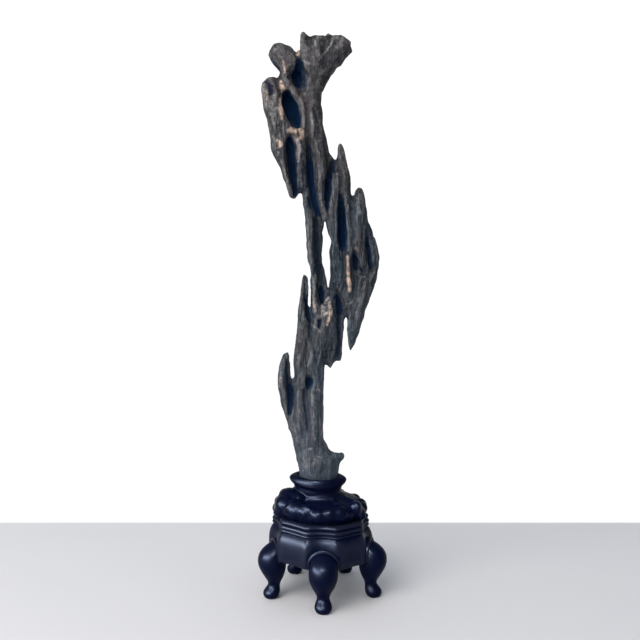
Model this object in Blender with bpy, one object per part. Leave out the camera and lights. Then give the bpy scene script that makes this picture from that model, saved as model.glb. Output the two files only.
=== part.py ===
"""A tall scholar's rock standing in a carved hardwood stand with five bulbous legs.

The rock is one solid. It is described as a bundle of tapering strands, fused together, from which
pits and long grooves are taken away. The stand is one carved block, with a pocket for each leg.
Lengths are in millimetres until an object is made, when they become metres. +Z is up, the front
is -Y, and the feet stand on z = 0.
"""

import math

import bmesh
import bpy
from mathutils import Matrix, Vector, noise

MM = 0.001
GAP = 0.35  # between pieces that touch
MIDDLE = (0.5, -3.07)  # of the whole thing in plan, from the axis of its legs: the origin is under it

# The rock: each station is (x, y, z, half width, half depth), from one end of a strand to the other.
STRANDS = {
    # crown
    "crown_right": [(-13, 1, 508, 11, 10), (-8.5, 1, 526, 11.5, 12), (0.5, 2, 541, 10.5, 14), (10.5, 3, 552, 10.5, 14),
                    (20.3, 4, 561.3, 10, 12), (28.3, 4, 566, 6.8, 8)],
    "crown_top": [(-11, 0, 527, 8, 10), (-7, 0, 549, 9, 13), (-5, 1, 564, 8.5, 12), (-3, 1, 574, 6.5, 8)],
    "crown_shoulder": [(-6, 2, 533, 8, 11), (2, 4, 553, 9, 13), (8, 4, 565, 8.5, 12), (12, 4, 575, 7, 8)],
    "crown_edge": [(6, 2, 549, 7, 10), (15, 2, 561, 8, 11), (20.5, 2, 572, 6.5, 8)],
    "crown_horn": [(-15.5, -3, 525, 6, 9), (-15.5, -4, 544, 6.5, 9), (-15.5, -4, 560, 7, 8),
                   (-17.5, -3, 569, 5.5, 6), (-20.5, -3, 578.5, 1.5, 2)],
    "crown_lobe": [(-25, -3, 541, 8, 8), (-33, -3, 549, 11, 9), (-41, -3, 556, 11, 9),
                   (-49, -2, 560, 7, 6), (-53, -2, 561, 3, 3)],
    "crown_back": [(-12, 9, 518, 8, 8), (-14, 14, 538, 9, 8), (-20, 15, 554, 6, 6), (-25, 15, 564, 2, 3)],
    # upper trunk, with the long blade that hangs on its left
    "upper_rim": [(-29, -4, 555, 5, 8), (-36, -5, 541, 5.5, 8), (-35.5, -7, 527, 6, 9), (-23, -7, 511, 4.5, 9),
                  (-18.5, -6, 491, 3.5, 9), (-19, -5, 461, 3, 8), (-18.5, -2, 427, 3.5, 7)],
    "upper_trunk": [(-13, 3, 520, 11, 12), (-9, 2, 487, 11, 12), (-6, 3, 457, 13, 10),
                    (-1, 4, 435, 14, 9), (4, 5, 400, 11, 6)],
    "left_blade": [(-52, -8, 533.3, 3.8, 5), (-50.5, -8, 525, 7.8, 8), (-49.3, -8, 512, 10.5, 9.5),
                   (-46, -9, 496, 10.2, 10), (-40.5, -9, 481, 12.6, 10), (-36, -9, 464, 16.2, 11),
                   (-31, -8, 444, 11.5, 10), (-28.5, -6, 424, 7, 7), (-30, -5, 412, 2.5, 3)],
    "left_blade_lip": [(-59.5, -9, 528, 2, 4), (-56.3, -9, 513, 3.8, 6), (-51, -9, 492, 4, 7)],
    "upper_bridge": [(-42, -9, 489, 5, 8), (-33, -10, 482, 4.5, 8), (-17, -6, 473, 4, 7)],
    "hollow_wall": [(-26, 7, 547, 9, 5), (-30, 8, 526, 10, 5), (-31, 9, 506, 10, 5), (-27, 7, 483, 10, 6),
                    (-23, 4, 466, 9, 7)],
    # the thin spine left of the slit
    "spine": [(-19.5, -1, 432, 3.5, 6), (-14, 0, 397, 4, 6), (-11.4, 0, 361, 4, 6), (-8.2, 0, 330, 4, 6),
              (-6.5, -2, 296, 4, 7)],
    "spine_back": [(-11.5, 4, 420, 6.5, 6), (-7, 5, 390, 7, 5), (-6, 4, 355, 5.5, 5.5), (-2, 4, 331, 7, 5.5),
                   (-1, 4, 301, 9, 8)],
    "slit_wall": [(3, 4, 403, 6, 5), (4.5, 4, 376, 7, 5), (4, 4, 353, 8, 5), (8, 4, 320, 6, 5), (8, 5, 298, 6, 6)],
    # ridges and spurs right of the slit
    "centre_ridge": [(-5, -6, 471, 5, 7), (-1, -8, 443, 4.5, 7), (-1.5, -7, 418, 3.5, 7), (3, -4, 395, 3, 6),
                     (10, -1, 372, 2.5, 6)],
    "inner_ridge": [(13, -3, 438, 4, 6), (11, -4, 404, 5, 8), (12, -3, 376, 5, 8), (14.5, -3, 349, 6.5, 8),
                    (19.5, 1, 307, 6, 7)],
    "first_spur": [(17.6, 3, 469, 2, 2.5), (19.2, 3, 459, 4.2, 5), (21.8, 1, 434, 6.2, 7), (25.5, -1, 406, 4.5, 7),
                   (28.5, -3, 376, 3.5, 7), (27, -5, 343, 3.5, 7), (28.5, -1, 303, 5, 6)],
    "first_web": [(5, 3, 456, 4.5, 6), (12, 6, 429, 9, 5), (18, 8, 392, 9, 5), (20.5, 5, 358, 8, 6),
                  (21.5, 4, 333, 8, 6)],
    "second_spur": [(37.5, 2, 425, 3, 3), (38, 1, 415, 6, 6), (38.5, -1, 396, 7.5, 8.5), (36.5, -1, 368, 8, 9),
                    (39, 0, 346, 8, 8)],
    "second_web": [(31, 3, 413, 4, 5), (33, 2, 388, 6.5, 8), (34, 3, 359, 8, 8)],
    "rib_web": [(43, 5, 389, 3, 4), (46, 6, 370, 6, 4), (47, 5, 348, 8, 5), (45, 4, 328, 8, 6)],
    "right_rib": [(44, 4, 391, 2.5, 4), (50, 4, 372, 4.5, 5), (53.3, 3, 354, 4.5, 5.5), (51, 3, 332, 4.5, 6),
                  (41.5, 2, 306, 5, 5)],
    "right_blade": [(41, 3, 357, 13, 7), (39, 1, 326, 13, 8), (34.8, 0, 301, 10, 7), (33.3, 0, 282, 7, 5),
                    (30.8, 0, 267, 4.2, 3.5), (29.2, 0, 254.5, 1.5, 2)],
    # lower column, with a finger that rises beside it at each level
    "upper_finger": [(-18.3, 0, 338, 1.8, 2), (-17.8, -1, 316, 5, 6), (-18.7, -2, 289, 6.5, 8),
                     (-21.3, -3, 250, 8.1, 9.5), (-18.8, -3, 215, 7.5, 9), (-15.5, -3, 174, 8.5, 10),
                     (-13, -2, 148, 10, 12), (-13, -2, 112, 10, 12)],
    "column": [(-1, 3, 305, 8.5, 9), (-2, -2, 274, 9.5, 11), (-7.5, -3, 237, 9, 10), (-8, -2, 195, 9.5, 10),
               (-8.5, -2, 163, 9.5, 12), (-5, -2, 140, 16, 14), (-5, -2, 112, 16, 14)],
    "column_right": [(8, 2, 303, 5, 7), (9.5, 1, 273, 8.5, 9), (8, 0, 252, 6, 6), (9.5, 0, 237.5, 1.3, 2)],
    "column_edge": [(18.5, 5, 320, 6, 6), (17.5, 5, 291, 6, 7), (16.2, 3, 245.5, 3.3, 4)],
    "lower_finger": [(-35.5, -3, 258, 1.8, 2), (-38.7, -4, 240, 5.7, 6), (-38, -4, 221, 8.5, 7.5),
                     (-32.3, -4, 195, 8, 8), (-25, -4, 169, 6.5, 9), (-19, -4, 143, 6.5, 10)],
    # foot
    "foot": [(-14.5, -2, 166, 12, 12), (-11, -2, 144, 15.5, 15), (-5, -2, 127, 19, 16.5), (-5, -2, 112, 18, 16)],
    "foot_wing": [(-2, 0, 151, 6, 8), (7.5, -1, 143.8, 6.2, 9), (15.5, -1, 142.5, 6, 8), (23, -1, 147.5, 2, 3)],
    "foot_side": [(-1, -1, 152, 5, 9), (4, -2, 139, 15, 14), (0, -2, 112, 14, 14)],
    "foot_boss": [(-3, -11, 150, 3, 3), (-3, -12, 143, 6.5, 6), (-4, -11, 126, 6.5, 6)],
    # back
    "back_long": [(-2, 14, 558, 4, 4), (-9, 16, 525, 6, 7), (-7, 14, 490, 6, 8), (3, 12, 434, 6, 7),
                  (18.5, 14, 375, 6, 8), (30, 13, 343, 6, 6), (34, 9, 316, 4, 5)],
    "back_left": [(-23, 10, 543, 5, 6), (-26, 14, 508, 6, 7), (-17.5, 13, 455, 7, 8), (-9, 11, 408, 4.5, 6),
                  (-5, 8, 360, 4, 5), (-4, 13, 316, 7, 7), (-10, 12, 266, 8.5, 8), (-14.5, 9, 206, 7.5, 8),
                  (-11.5, 8, 163, 9, 8), (-11, 7, 112, 10, 8)],
    "back_spur": [(-12, 10, 438, 4, 5), (-8, 17, 460, 6, 6), (-9, 21, 482, 4, 5), (-13, 23, 498, 1.2, 2)],
    "back_hook": [(20, 10, 343, 6, 6), (24, 17, 364, 5, 6), (22, 20, 382, 2, 3)],
    "back_column": [(12.5, 11, 313, 5, 6), (6, 14, 282, 6.5, 7), (-2, 12, 244, 6, 7), (-4, 9, 198, 5.5, 7),
                    (-5, 8, 166, 5.5, 8), (0, 7, 142, 9, 8), (0, 7, 112, 9, 8)],
    "back_blade": [(-47, 1, 519, 6, 6), (-41, 4, 488, 7, 7), (-34, 4, 460, 7, 6), (-30, 2, 438, 4, 4)],
    "back_finger": [(-35, 5, 232, 2, 3), (-31, 6, 203, 5.5, 6), (-24, 7, 170, 7, 8), (-19, 6, 143, 8, 9)],
}
# What weather has taken away, described in the same way. The slit goes right through.
HOLLOWS = {
    "crown_eye": [(-22, -12, 547, 2.5, 4), (-22, -12, 535, 8.5, 11), (-18, -12, 521, 3, 5)],
    "big_hollow": [(-34, -11, 519, 2.5, 7), (-32, -9, 504, 7.5, 14), (-26, -9, 488, 5.5, 11),
                   (-24, -12, 481, 1.5, 4)],
    "long_trough": [(-32, -19, 476, 3, 6), (-31.5, -18, 462, 6, 11), (-30, -17, 443, 6, 11),
                    (-27, -13, 418, 2.5, 5)],
    "blade_slot": [(-50.5, -18, 526, 1.5, 4), (-49.5, -18, 518, 3, 6), (-49.5, -18, 510, 1.5, 4)],
    "spine_groove": [(-12, -11, 465, 1.5, 4), (-11.5, -9, 440, 4, 9), (-8.5, -7, 409, 4, 7), (-4, -4, 388, 2, 4)],
    "ridge_groove": [(9, -10, 449, 2, 5), (6, -7, 428, 3.5, 8), (4.5, -7, 400, 1.5, 4)],
    "spur_groove": [(20, -10, 416, 1.5, 4), (20, -5, 390, 5, 10), (20, -6, 370, 4.5, 9), (21, -9, 358, 1, 3)],
    "rib_groove": [(45, -5, 379, 1, 3), (47.5, -4, 357, 3, 7), (52, -4, 339, 1.5, 4)],
    "blade_pit": [(32.5, -10, 360, 2.5, 5), (34, -9, 350, 4.5, 8), (38.5, -9, 337, 1, 2)],
    "inner_groove": [(16, -9, 323, 1.5, 4), (18, -6, 306, 4.5, 8), (14.5, -9, 276, 1.5, 3)],
    "column_pit": [(-2.5, -6, 333, 1.5, 4), (-1, -4, 317, 4.5, 8), (0, -7, 302, 1.5, 4)],
    "small_pit": [(-3, -12, 293, 2, 4), (-2.5, -12, 286, 3, 6), (-2, -13, 278, 1, 2)],
    "finger_groove": [(-17, -8, 324, 1, 2), (-15.5, -9, 302, 3, 6), (-14, -11, 284, 1, 3)],
    "lower_pit": [(-13.5, -14, 240, 1.5, 3), (-13.5, -13, 225, 5, 7), (-17, -14, 203, 2.5, 4),
                  (-16.5, -15, 180, 1, 2)],
    "lower_finger_groove": [(-37, -10, 250, 1, 2), (-35, -11, 224, 4, 6), (-32.5, -13, 190, 1, 2)],
    "slit": [(3.5, 3, 388, 0.9, 24), (3.3, 3, 378, 2.8, 24), (5.3, 3, 370, 4.8, 24), (3.4, 3, 360.5, 4.0, 24),
             (3.6, 3, 348.5, 4.4, 24), (5.9, 3, 338, 2.7, 24), (6.3, 3, 327, 1.7, 24), (6.4, 3, 320, 1.2, 24)],
    "blade_slit": [(24.2, 0, 298, 1.2, 24), (23.9, 0, 286, 1.7, 24), (24.3, 0, 274, 2.3, 24), (24.5, 0, 262, 2.6, 24)],
    "finger_slit": [(-12.6, 0, 342, 1.4, 24), (-12.7, 0, 324, 1.3, 24), (-12.6, 0, 308, 1.6, 24),
                    (-12.4, 0, 301, 1.2, 24)],
    "foot_chip": [(0, -22, 110, 5, 6), (10, -17, 115, 7, 7), (19, -10, 119, 6, 6)],
    "back_eye": [(-24, 22, 530, 2, 4), (-20, 20, 518, 6, 10), (-20, 22, 504, 2, 4)],
    "back_trough": [(-3, 21, 480, 2, 4), (-1, 19, 456, 4, 9), (6, 20, 428, 2, 5)],
    "back_pit": [(34, 14, 372, 2, 5), (35, 12, 356, 5, 9), (37, 13, 338, 2, 4)],
    "back_groove": [(-9, 20, 298, 2, 5), (-4, 19, 273, 4, 9), (-9, 19, 238, 2, 6)],
    "back_low_pit": [(-16, 18, 198, 2, 5), (-14, 17, 182, 4.5, 8), (-13, 18, 162, 2, 4)],
}
STATION_STEP = 5.0  # spacing of the rings along a strand
STRAND_SIDES = 10
SWELL = 0.7  # added to every strand's half sizes, for what smoothing takes off
FLUTE = 0.2  # how much a strand's ridges stand out, as a share of its width
HOLLOW_FLUTE = 0.1
STONE_VOXEL = 1.4
RELIEF = 0.9  # of the weathered flutes over the whole stone
FLUTE_PITCH = (6, 6, 33)  # rough size of a flute: they are drawn out upright
FACET_PITCH = 9  # rough size of an angular facet
STONE_FACES = 4500
STONE_FLOOR = 117.0  # its flat underside, on the floor of the socket
FOOT_TRIM_TOP = 131.0
STONE_FOOT_TOP = 129.0  # the relief is nothing up to here, so that the foot fits its socket
FOOT_FADE = 12.0  # height over which the relief then comes in

# Stand: each leg's name, and its turn about the stand's axis in degrees.
LEGS = {"leg_front": -88.8, "leg_front_right": -16.0, "leg_rear_right": 63.0, "leg_rear_left": 122.5,
        "leg_front_left": 199.5}
LEG_FACET = 17.5  # half the width, in degrees, of the facet over a leg
BODY_CENTRE = (-1.2, 0.0)
BODY_RADIUS = 56.0
FACET_STEPS = 4  # edges across each facet of the lower body
FACET_HOLLOW = 2.6  # how far the middle of a facet between legs lies inside the circle through its corners
LEG_FACET_HOLLOW = 4.0
# Lower body: (z, radius less than BODY_RADIUS), from the underside up.
SKIRT_PROFILE = [(41.8, 4.5), (41.8, 1.6), (43.4, 0.4), (52.0, 0.2), (62.0, 0.9), (69.5, 2.4), (71.6, 3.9),
                 (72.8, 4.2), (74.8, 3.2), (76.6, 4.8), (77.6, 7.2), (79.0, 8.4), (80.4, 8.0), (82.0, 10.4),
                 (84.5, 12.5), (90.0, 15.0)]
BAND_TILT = 0.04  # the mouldings were carved a little lower on the right
UNDERSIDE_RECESS = (25.0, 4.0)  # radius and depth

# Rockwork: the dome's profile (z, radius), its swelling ridges, which run like the stone's strands,
# and the knobs on it: (turn in degrees, z, out, size, height).
DOME_PROFILE = [(82.0, 40.0), (86.0, 44.0), (91.0, 46.0), (95.0, 45.0), (99.0, 40.0), (102.5, 32.8),
                (106.0, 26.5), (110.0, 23.2), (117.0, 22.4)]
RIDGES = {
    "front_left": [(-17, -27, 109, 3, 3), (-26, -34, 103, 4, 4.5), (-34, -33, 96, 4.5, 5), (-37, -31, 87, 4, 4)],
    "front_right": [(11, -33, 106, 3, 3), (22, -37, 103, 4, 4.5), (30, -36, 96, 4, 4.5), (31, -35, 87, 4, 4)],
    "right": [(25, -8, 103, 3, 3), (35, -17, 99, 4, 4), (42, -18, 92, 4.5, 4.5), (42, -19, 84, 4, 4)],
    "left": [(-28, -6, 109, 4, 4), (-39, -9, 107, 5.5, 5.5), (-46, -9, 98, 5, 5), (-46, -7, 87, 4, 4)],
    "back_left": [(-20, 22, 108, 3, 3), (-27, 31, 102, 4.5, 5), (-33, 32, 94, 5, 5), (-36, 29, 86, 4, 4)],
    "back_right": [(15, 22, 100, 3, 3), (23, 30, 93, 4.5, 4), (29, 34, 88, 5, 5), (31, 34, 83, 4, 4)],
    "back": [(-3, 28, 105, 3, 3), (-4, 37, 100, 5, 5), (-2, 43, 92, 5, 5), (1, 44, 84, 4, 4)],
}
KNOBS = [
    (-94, 96, 43, 8.0, 7.0), (-84, 93, 43.5, 6.5, 6.0), (-79, 103, 39, 6.5, 6.0), (-66, 93, 44, 8.5, 7.5),
    (-40, 96, 42, 8.0, 8.0), (-106, 91, 43.5, 6.5, 5.5), (-116, 101, 38, 6.0, 6.0), (-121, 96, 42, 8.0, 7.0),
    (-111, 105, 34, 4.5, 4.0), (-147, 98, 43, 7.5, 8.0), (-155, 90, 44, 7.0, 6.0), (-175, 97, 46, 7.5, 8.0),
    (-171, 106, 37, 9.5, 6.5), (170, 90, 44, 8.0, 6.0), (160, 99, 41, 8.5, 8.0), (146, 91, 44, 8.0, 7.0),
    (120, 92, 44, 8.5, 7.0), (108, 98, 41, 7.5, 7.5), (100, 90, 45, 7.0, 6.0), (72, 92, 44, 8.5, 7.5),
    (60, 94, 41, 7.5, 6.5), (40, 89, 45, 8.0, 5.5), (30, 93, 42, 8.0, 6.0), (14, 90, 44, 8.5, 6.5),
    (2, 94, 42, 7.5, 6.0), (-10, 92, 44, 7.5, 6.5), (-26, 90, 43, 6.5, 6.0),
]
DOME_SIDES = 40
DOME_VOXEL = 1.5
DOME_FACES = 800

# Collar, in plan an ellipse drawn out to a tip at each side: (x, y) centre and half sizes.
COLLAR_CENTRE = (-4.2, -1.0)
COLLAR_HALF = (26.9, 23.6)
COLLAR_SIDES = 26
COLLAR_TIP = 0.1  # how far the side tips are drawn out
# Outside of the neck and collar, from inside the dome up to the rim: (z, share of COLLAR_HALF, and how much
# higher the ring is at the back than in the middle). The lip droops at the front.
COLLAR_PROFILE = [(104.0, 0.82, 0.0), (110.0, 0.85, 0.0), (113.6, 0.91, 0.6), (115.6, 0.90, 0.8),
                  (117.6, 0.84, 1.2), (118.8, 0.86, 1.6), (120.4, 0.97, 2.2), (122.0, 1.0, 2.2),
                  (124.2, 0.94, 1.2), (126.0, 0.86, 0.4)]
# The socket that takes the stone's foot: (z, half width, half depth), from its floor up.
SOCKET_PROFILE = [(STONE_FLOOR - GAP, 20.6, 18.0), (121.0, 20.9, 18.2), (134.0, 22.6, 19.4)]

# A leg: (z, distance of its middle from the stand's axis, half depth, half width), from its foot up.
# The knee leans in under the apron at its top.
LEG_PROFILE = [(0.0, 56.3, 5.4, 5.6), (1.4, 56.4, 7.4, 7.6), (4.8, 56.3, 9.1, 9.3), (8.6, 55.2, 8.4, 8.6),
               (12.2, 53.4, 6.5, 6.7), (16.0, 52.7, 6.1, 6.2), (22.0, 52.9, 9.8, 10.0), (29.0, 54.0, 13.5, 13.6),
               (36.0, 55.2, 15.2, 15.3), (42.0, 55.7, 14.9, 15.3), (47.5, 55.0, 13.8, 14.5),
               (52.0, 53.2, 12.0, 13.0), (56.0, 50.8, 8.8, 10.2), (59.0, 49.6, 5.6, 6.6), (60.2, 49.2, 2.2, 2.6)]
LEG_SIDES = 10
# The raised edge of the arch over each knee: half width, height of its springing and of its crown.
ARCH = (16.0, 48.0, 63.0)
ARCH_PROUD = 0.9
ARCH_INNER = 43.0  # where it starts inside the body, from the stand's axis
ARCH_STEPS = 10


def clear_scene():
    for obj in list(bpy.data.objects):
        bpy.data.objects.remove(obj, do_unlink=True)


def material(name, colour, roughness):
    made = bpy.data.materials.new(name)
    made.use_nodes = True
    shader = made.node_tree.nodes["Principled BSDF"]
    shader.inputs["Base Color"].default_value = (*colour, 1.0)
    shader.inputs["Roughness"].default_value = roughness
    return made


def new_object(name, shape, look=None):
    """An object from a bmesh whose lengths are millimetres."""
    bmesh.ops.recalc_face_normals(shape, faces=shape.faces)
    shape.transform(Matrix.Scale(MM, 4))
    mesh = bpy.data.meshes.new(name)
    shape.to_mesh(mesh)
    shape.free()
    obj = bpy.data.objects.new(name, mesh)
    bpy.context.scene.collection.objects.link(obj)
    if look:
        mesh.materials.append(look)
    return obj


def helper(obj):
    """Marks an object that only cuts or joins another."""
    obj.hide_render = True
    obj.display_type = "WIRE"
    return obj


def apply_modifiers(obj):
    graph = bpy.context.evaluated_depsgraph_get()
    mesh = bpy.data.meshes.new_from_object(obj.evaluated_get(graph))
    obj.modifiers.clear()
    obj.data = mesh


def drop_crumbs(obj):
    """Keeps only the largest closed body of a mesh."""
    shape = bmesh.new()
    shape.from_mesh(obj.data)
    islands = []
    unseen = set(shape.verts)
    while unseen:
        island = [unseen.pop()]
        for vert in island:
            for edge in vert.link_edges:
                other = edge.other_vert(vert)
                if other in unseen:
                    unseen.remove(other)
                    island.append(other)
        islands.append(island)
    islands.sort(key=len)
    for island in islands[:-1]:
        bmesh.ops.delete(shape, geom=island, context="VERTS")
    shape.to_mesh(obj.data)
    shape.free()


def fuse(obj, other, operation):
    """A Boolean of two objects, applied. The other object stays as a hidden helper."""
    helper(other)
    cut = obj.modifiers.new(operation.title(), "BOOLEAN")
    cut.operation = operation
    cut.solver = "EXACT"
    cut.object = other
    apply_modifiers(obj)


def remesh(obj, voxel):
    grid = obj.modifiers.new("Remesh", "REMESH")
    grid.mode = "VOXEL"
    grid.voxel_size = voxel * MM
    apply_modifiers(obj)


def smooth(obj, factor, times):
    ease = obj.modifiers.new("Smooth", "SMOOTH")
    ease.factor = factor
    ease.iterations = times
    apply_modifiers(obj)


def thin_out(obj, faces):
    """Collapses edges until about this many triangles are left."""
    shape = bmesh.new()
    shape.from_mesh(obj.data)
    bmesh.ops.triangulate(shape, faces=shape.faces)
    shape.to_mesh(obj.data)
    shape.free()
    fewer = obj.modifiers.new("Decimate", "DECIMATE")
    fewer.ratio = faces / len(obj.data.polygons)
    apply_modifiers(obj)


def loft(shape, rings):
    """Joins closed rings of points, in order, and closes both ends."""
    rows = [[shape.verts.new(point) for point in ring] for ring in rings]
    for low, high in zip(rows, rows[1:]):
        for k in range(len(low)):
            after = (k + 1) % len(low)
            shape.faces.new((low[k], low[after], high[after], high[k]))
    for row in (rows[0], rows[-1]):
        shape.faces.new(row)


def along(stations, step):
    """Stations read at even steps from a smooth curve through the given ones."""
    points = [Vector(station[:3]) for station in stations]
    sizes = [station[3:] for station in stations]
    read = []
    for i in range(len(points) - 1):
        before = points[i - 1] if i else points[0] * 2 - points[1]
        after = points[i + 2] if i + 2 < len(points) else points[i + 1] * 2 - points[i]
        a, b = points[i], points[i + 1]
        count = max(1, round((b - a).length / step))
        for k in range(count):
            t = k / count
            place = (2 * a + (b - before) * t + (2 * before - 5 * a + 4 * b - after) * t * t
                     + (3 * a - before - 3 * b + after) * t * t * t) / 2
            ease = t * t * (3 - 2 * t)
            read.append((place, *(p + (q - p) * ease for p, q in zip(sizes[i], sizes[i + 1]))))
    read.append((points[-1], *sizes[-1]))
    return read


def strand(shape, stations, seed, flute, swell):
    """One tapering strand: rings square to its path, with ridges that run its whole length."""
    read = along(stations, STATION_STEP)
    rings = []
    for i, (place, width, depth) in enumerate(read):
        ahead = read[min(i + 1, len(read) - 1)][0] - read[max(i - 1, 0)][0]
        ahead.normalize()
        across = ahead.cross(Vector((0, 1, 0))).normalized()
        through = across.cross(ahead)
        ring = []
        for k in range(STRAND_SIDES):
            turn = math.tau * k / STRAND_SIDES
            grow = 1 + flute * noise.noise(Vector((k * 1.37, place.z * 0.02, seed * 7.3)))
            ring.append(place + across * (math.cos(turn) * (width * grow + swell))
                        + through * (math.sin(turn) * (depth * grow + swell)))
        rings.append(ring)
    loft(shape, rings)


def strand_bundle(name, bundle, flute, swell):
    """All the strands of a bundle, fused."""
    shape = bmesh.new()
    for seed, stations in enumerate(bundle.values()):
        strand(shape, stations, seed, flute, swell)
    obj = new_object(name, shape)
    remesh(obj, STONE_VOXEL)
    return obj


def weather(obj):
    """Long upright flutes and small angular facets over the whole stone, fading out at its foot."""
    mesh = obj.data
    normals = [vert.normal.copy() for vert in mesh.vertices]
    for vert, normal in zip(mesh.vertices, normals):
        place = vert.co / MM
        flutes = noise.noise(Vector([a / pitch for a, pitch in zip(place, FLUTE_PITCH)]))
        facets = noise.noise(place / FACET_PITCH, noise_basis="VORONOI_F2F1") - 0.3
        fade = min(1.0, max(0.0, (place.z - STONE_FOOT_TOP) / FOOT_FADE))
        vert.co += normal * (RELIEF * MM * fade * (1.2 * flutes + 0.7 * facets))


def foot_trim():
    """All that lies outside the stone's foot in its socket, so that the foot stands flat and clear of the walls."""
    shape = bmesh.new()
    bmesh.ops.create_cube(shape, size=1)
    shape.transform(Matrix.Translation((0, 0, FOOT_TRIM_TOP - 20)) @ Matrix.Diagonal((140, 140, 40, 1)))
    block = new_object("foot_trim", shape)
    plug = bmesh.new()
    loft(plug, [collar_ring(z + GAP, half_x - GAP, half_y - GAP, 0.0, 0.0) for z, half_x, half_y in SOCKET_PROFILE])
    fuse(block, new_object("foot_plug", plug), "DIFFERENCE")
    return block


def stone(look):
    obj = strand_bundle("stone", STRANDS, FLUTE, SWELL)
    smooth(obj, 0.5, 3)
    hollows = strand_bundle("hollows", HOLLOWS, HOLLOW_FLUTE, 0.0)
    fuse(obj, hollows, "DIFFERENCE")
    drop_crumbs(obj)
    remesh(obj, STONE_VOXEL)
    drop_crumbs(obj)
    smooth(obj, 0.5, 2)
    weather(obj)
    thin_out(obj, STONE_FACES)
    fuse(obj, foot_trim(), "DIFFERENCE")
    drop_crumbs(obj)
    obj.data.materials.clear()
    obj.data.materials.append(look)
    return obj


def turned(turn, radius, centre, z):
    return Vector((centre[0] + radius * math.cos(turn), centre[1] + radius * math.sin(turn), z))


def facet_hollow(turn):
    """How far the ten-sided body lies inside its circle at this turn: a facet over each leg and one between legs."""
    turns = sorted(degrees % 360 for degrees in LEGS.values())
    here = math.degrees(turn) % 360
    after = next((t for t in turns if t > here), turns[0] + 360)
    before = next((t for t in reversed(turns) if t <= here), turns[-1] - 360)
    from_leg = min(here - before, after - here)
    if from_leg < LEG_FACET:
        return LEG_FACET_HOLLOW * (1 - (from_leg / LEG_FACET) ** 2)
    half = (after - before) / 2 - LEG_FACET
    return FACET_HOLLOW * (1 - (((after + before) / 2 - here) / half) ** 2)


def skirt_turns():
    """The turns of the points of a ring of the lower body. Each of its ten corners has one."""
    legs = sorted(degrees % 360 for degrees in LEGS.values())
    turns = []
    for here, after in zip(legs, legs[1:] + [legs[0] + 360]):
        corners = (here - LEG_FACET, here + LEG_FACET, after - LEG_FACET)
        for low, high in zip(corners, corners[1:]):
            turns += [math.radians(low + (high - low) * k / FACET_STEPS) for k in range(FACET_STEPS)]
    return turns


def skirt():
    """The apron and the two mouldings over it."""
    shape = bmesh.new()
    turns = skirt_turns()
    rings = []
    for z, inset in SKIRT_PROFILE:
        ring = []
        for turn in turns:
            radius = BODY_RADIUS - inset - facet_hollow(turn)
            drop = BAND_TILT * radius * math.cos(turn)
            ring.append(turned(turn, radius, BODY_CENTRE, z - drop))
        rings.append(ring)
    loft(shape, rings)
    return new_object("stand_body", shape)


def rockwork():
    """The dome of rounded lumps over the mouldings."""
    shape = bmesh.new()
    loft(shape, [[turned(math.tau * k / DOME_SIDES, radius, BODY_CENTRE, z) for k in range(DOME_SIDES)]
                 for z, radius in DOME_PROFILE])
    for degrees, z, out, size, height in KNOBS:
        turn = math.radians(degrees)
        place = Matrix.Translation(turned(turn, out, BODY_CENTRE, z)) @ Matrix.Rotation(turn, 4, "Z")
        bmesh.ops.create_icosphere(shape, subdivisions=3, radius=1,
                                   matrix=place @ Matrix.Diagonal((size * 0.8, size, height, 1)))
    for seed, stations in enumerate(RIDGES.values()):
        strand(shape, stations, seed, HOLLOW_FLUTE, 0.0)
    obj = new_object("rockwork", shape)
    remesh(obj, DOME_VOXEL)
    smooth(obj, 0.5, 2)
    thin_out(obj, DOME_FACES)
    return obj


def collar_ring(z, half_x, half_y, rise, tip):
    ring = []
    for k in range(COLLAR_SIDES):
        turn = math.tau * k / COLLAR_SIDES
        reach = 1 + tip * math.cos(turn) ** 8
        x = COLLAR_CENTRE[0] + half_x * reach * math.cos(turn)
        y = COLLAR_CENTRE[1] + half_y * math.sin(turn)
        ring.append(Vector((x, y, z + rise * math.sin(turn))))
    return ring


def collar():
    """The neck and the lipped collar round the socket."""
    shape = bmesh.new()
    base, rim = COLLAR_PROFILE[0][0], COLLAR_PROFILE[-1][0]
    rings = []
    for z, share, rise in COLLAR_PROFILE:
        lift = (z - base) / (rim - base)
        ring = collar_ring(z, COLLAR_HALF[0] * share, COLLAR_HALF[1] * share, rise, COLLAR_TIP * lift)
        for point in ring:
            point.z -= BAND_TILT * lift * (point.x - COLLAR_CENTRE[0])
        rings.append(ring)
    loft(shape, rings)
    return new_object("collar", shape)


def socket():
    shape = bmesh.new()
    loft(shape, [collar_ring(z, half_x, half_y, 0.0, 0.0) for z, half_x, half_y in SOCKET_PROFILE])
    return new_object("socket", shape)


def leg_shape(grow):
    """A leg along +X, with its knee up. A cutter for its pocket grows by the gap all round."""
    shape = bmesh.new()
    rings = []
    last = len(LEG_PROFILE) - 1
    for i, (z, out, depth, width) in enumerate(LEG_PROFILE):
        z += grow if i == last else 0
        rings.append([Vector((out + (depth + grow) * math.cos(math.tau * k / LEG_SIDES),
                              (width + grow) * math.sin(math.tau * k / LEG_SIDES), z))
                      for k in range(LEG_SIDES)])
    loft(shape, rings)
    return shape


def arch_edge():
    """A round-headed slab along +X, which the leg's pocket cuts to a raised edge. It ends over the underside."""
    half, springing, crown = ARCH
    low = SKIRT_PROFILE[0][0] + 0.2
    outline = [(-half, low)]
    for k in range(ARCH_STEPS + 1):
        turn = math.pi * (1 - k / ARCH_STEPS)
        outline.append((half * math.cos(turn), springing + (crown - springing) * math.sin(turn)))
    outline.append((half, low))
    shape = bmesh.new()
    far = BODY_RADIUS - LEG_FACET_HOLLOW + ARCH_PROUD
    loft(shape, [[Vector((x, y, z)) for y, z in outline] for x in (ARCH_INNER, far)])
    return shape


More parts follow.
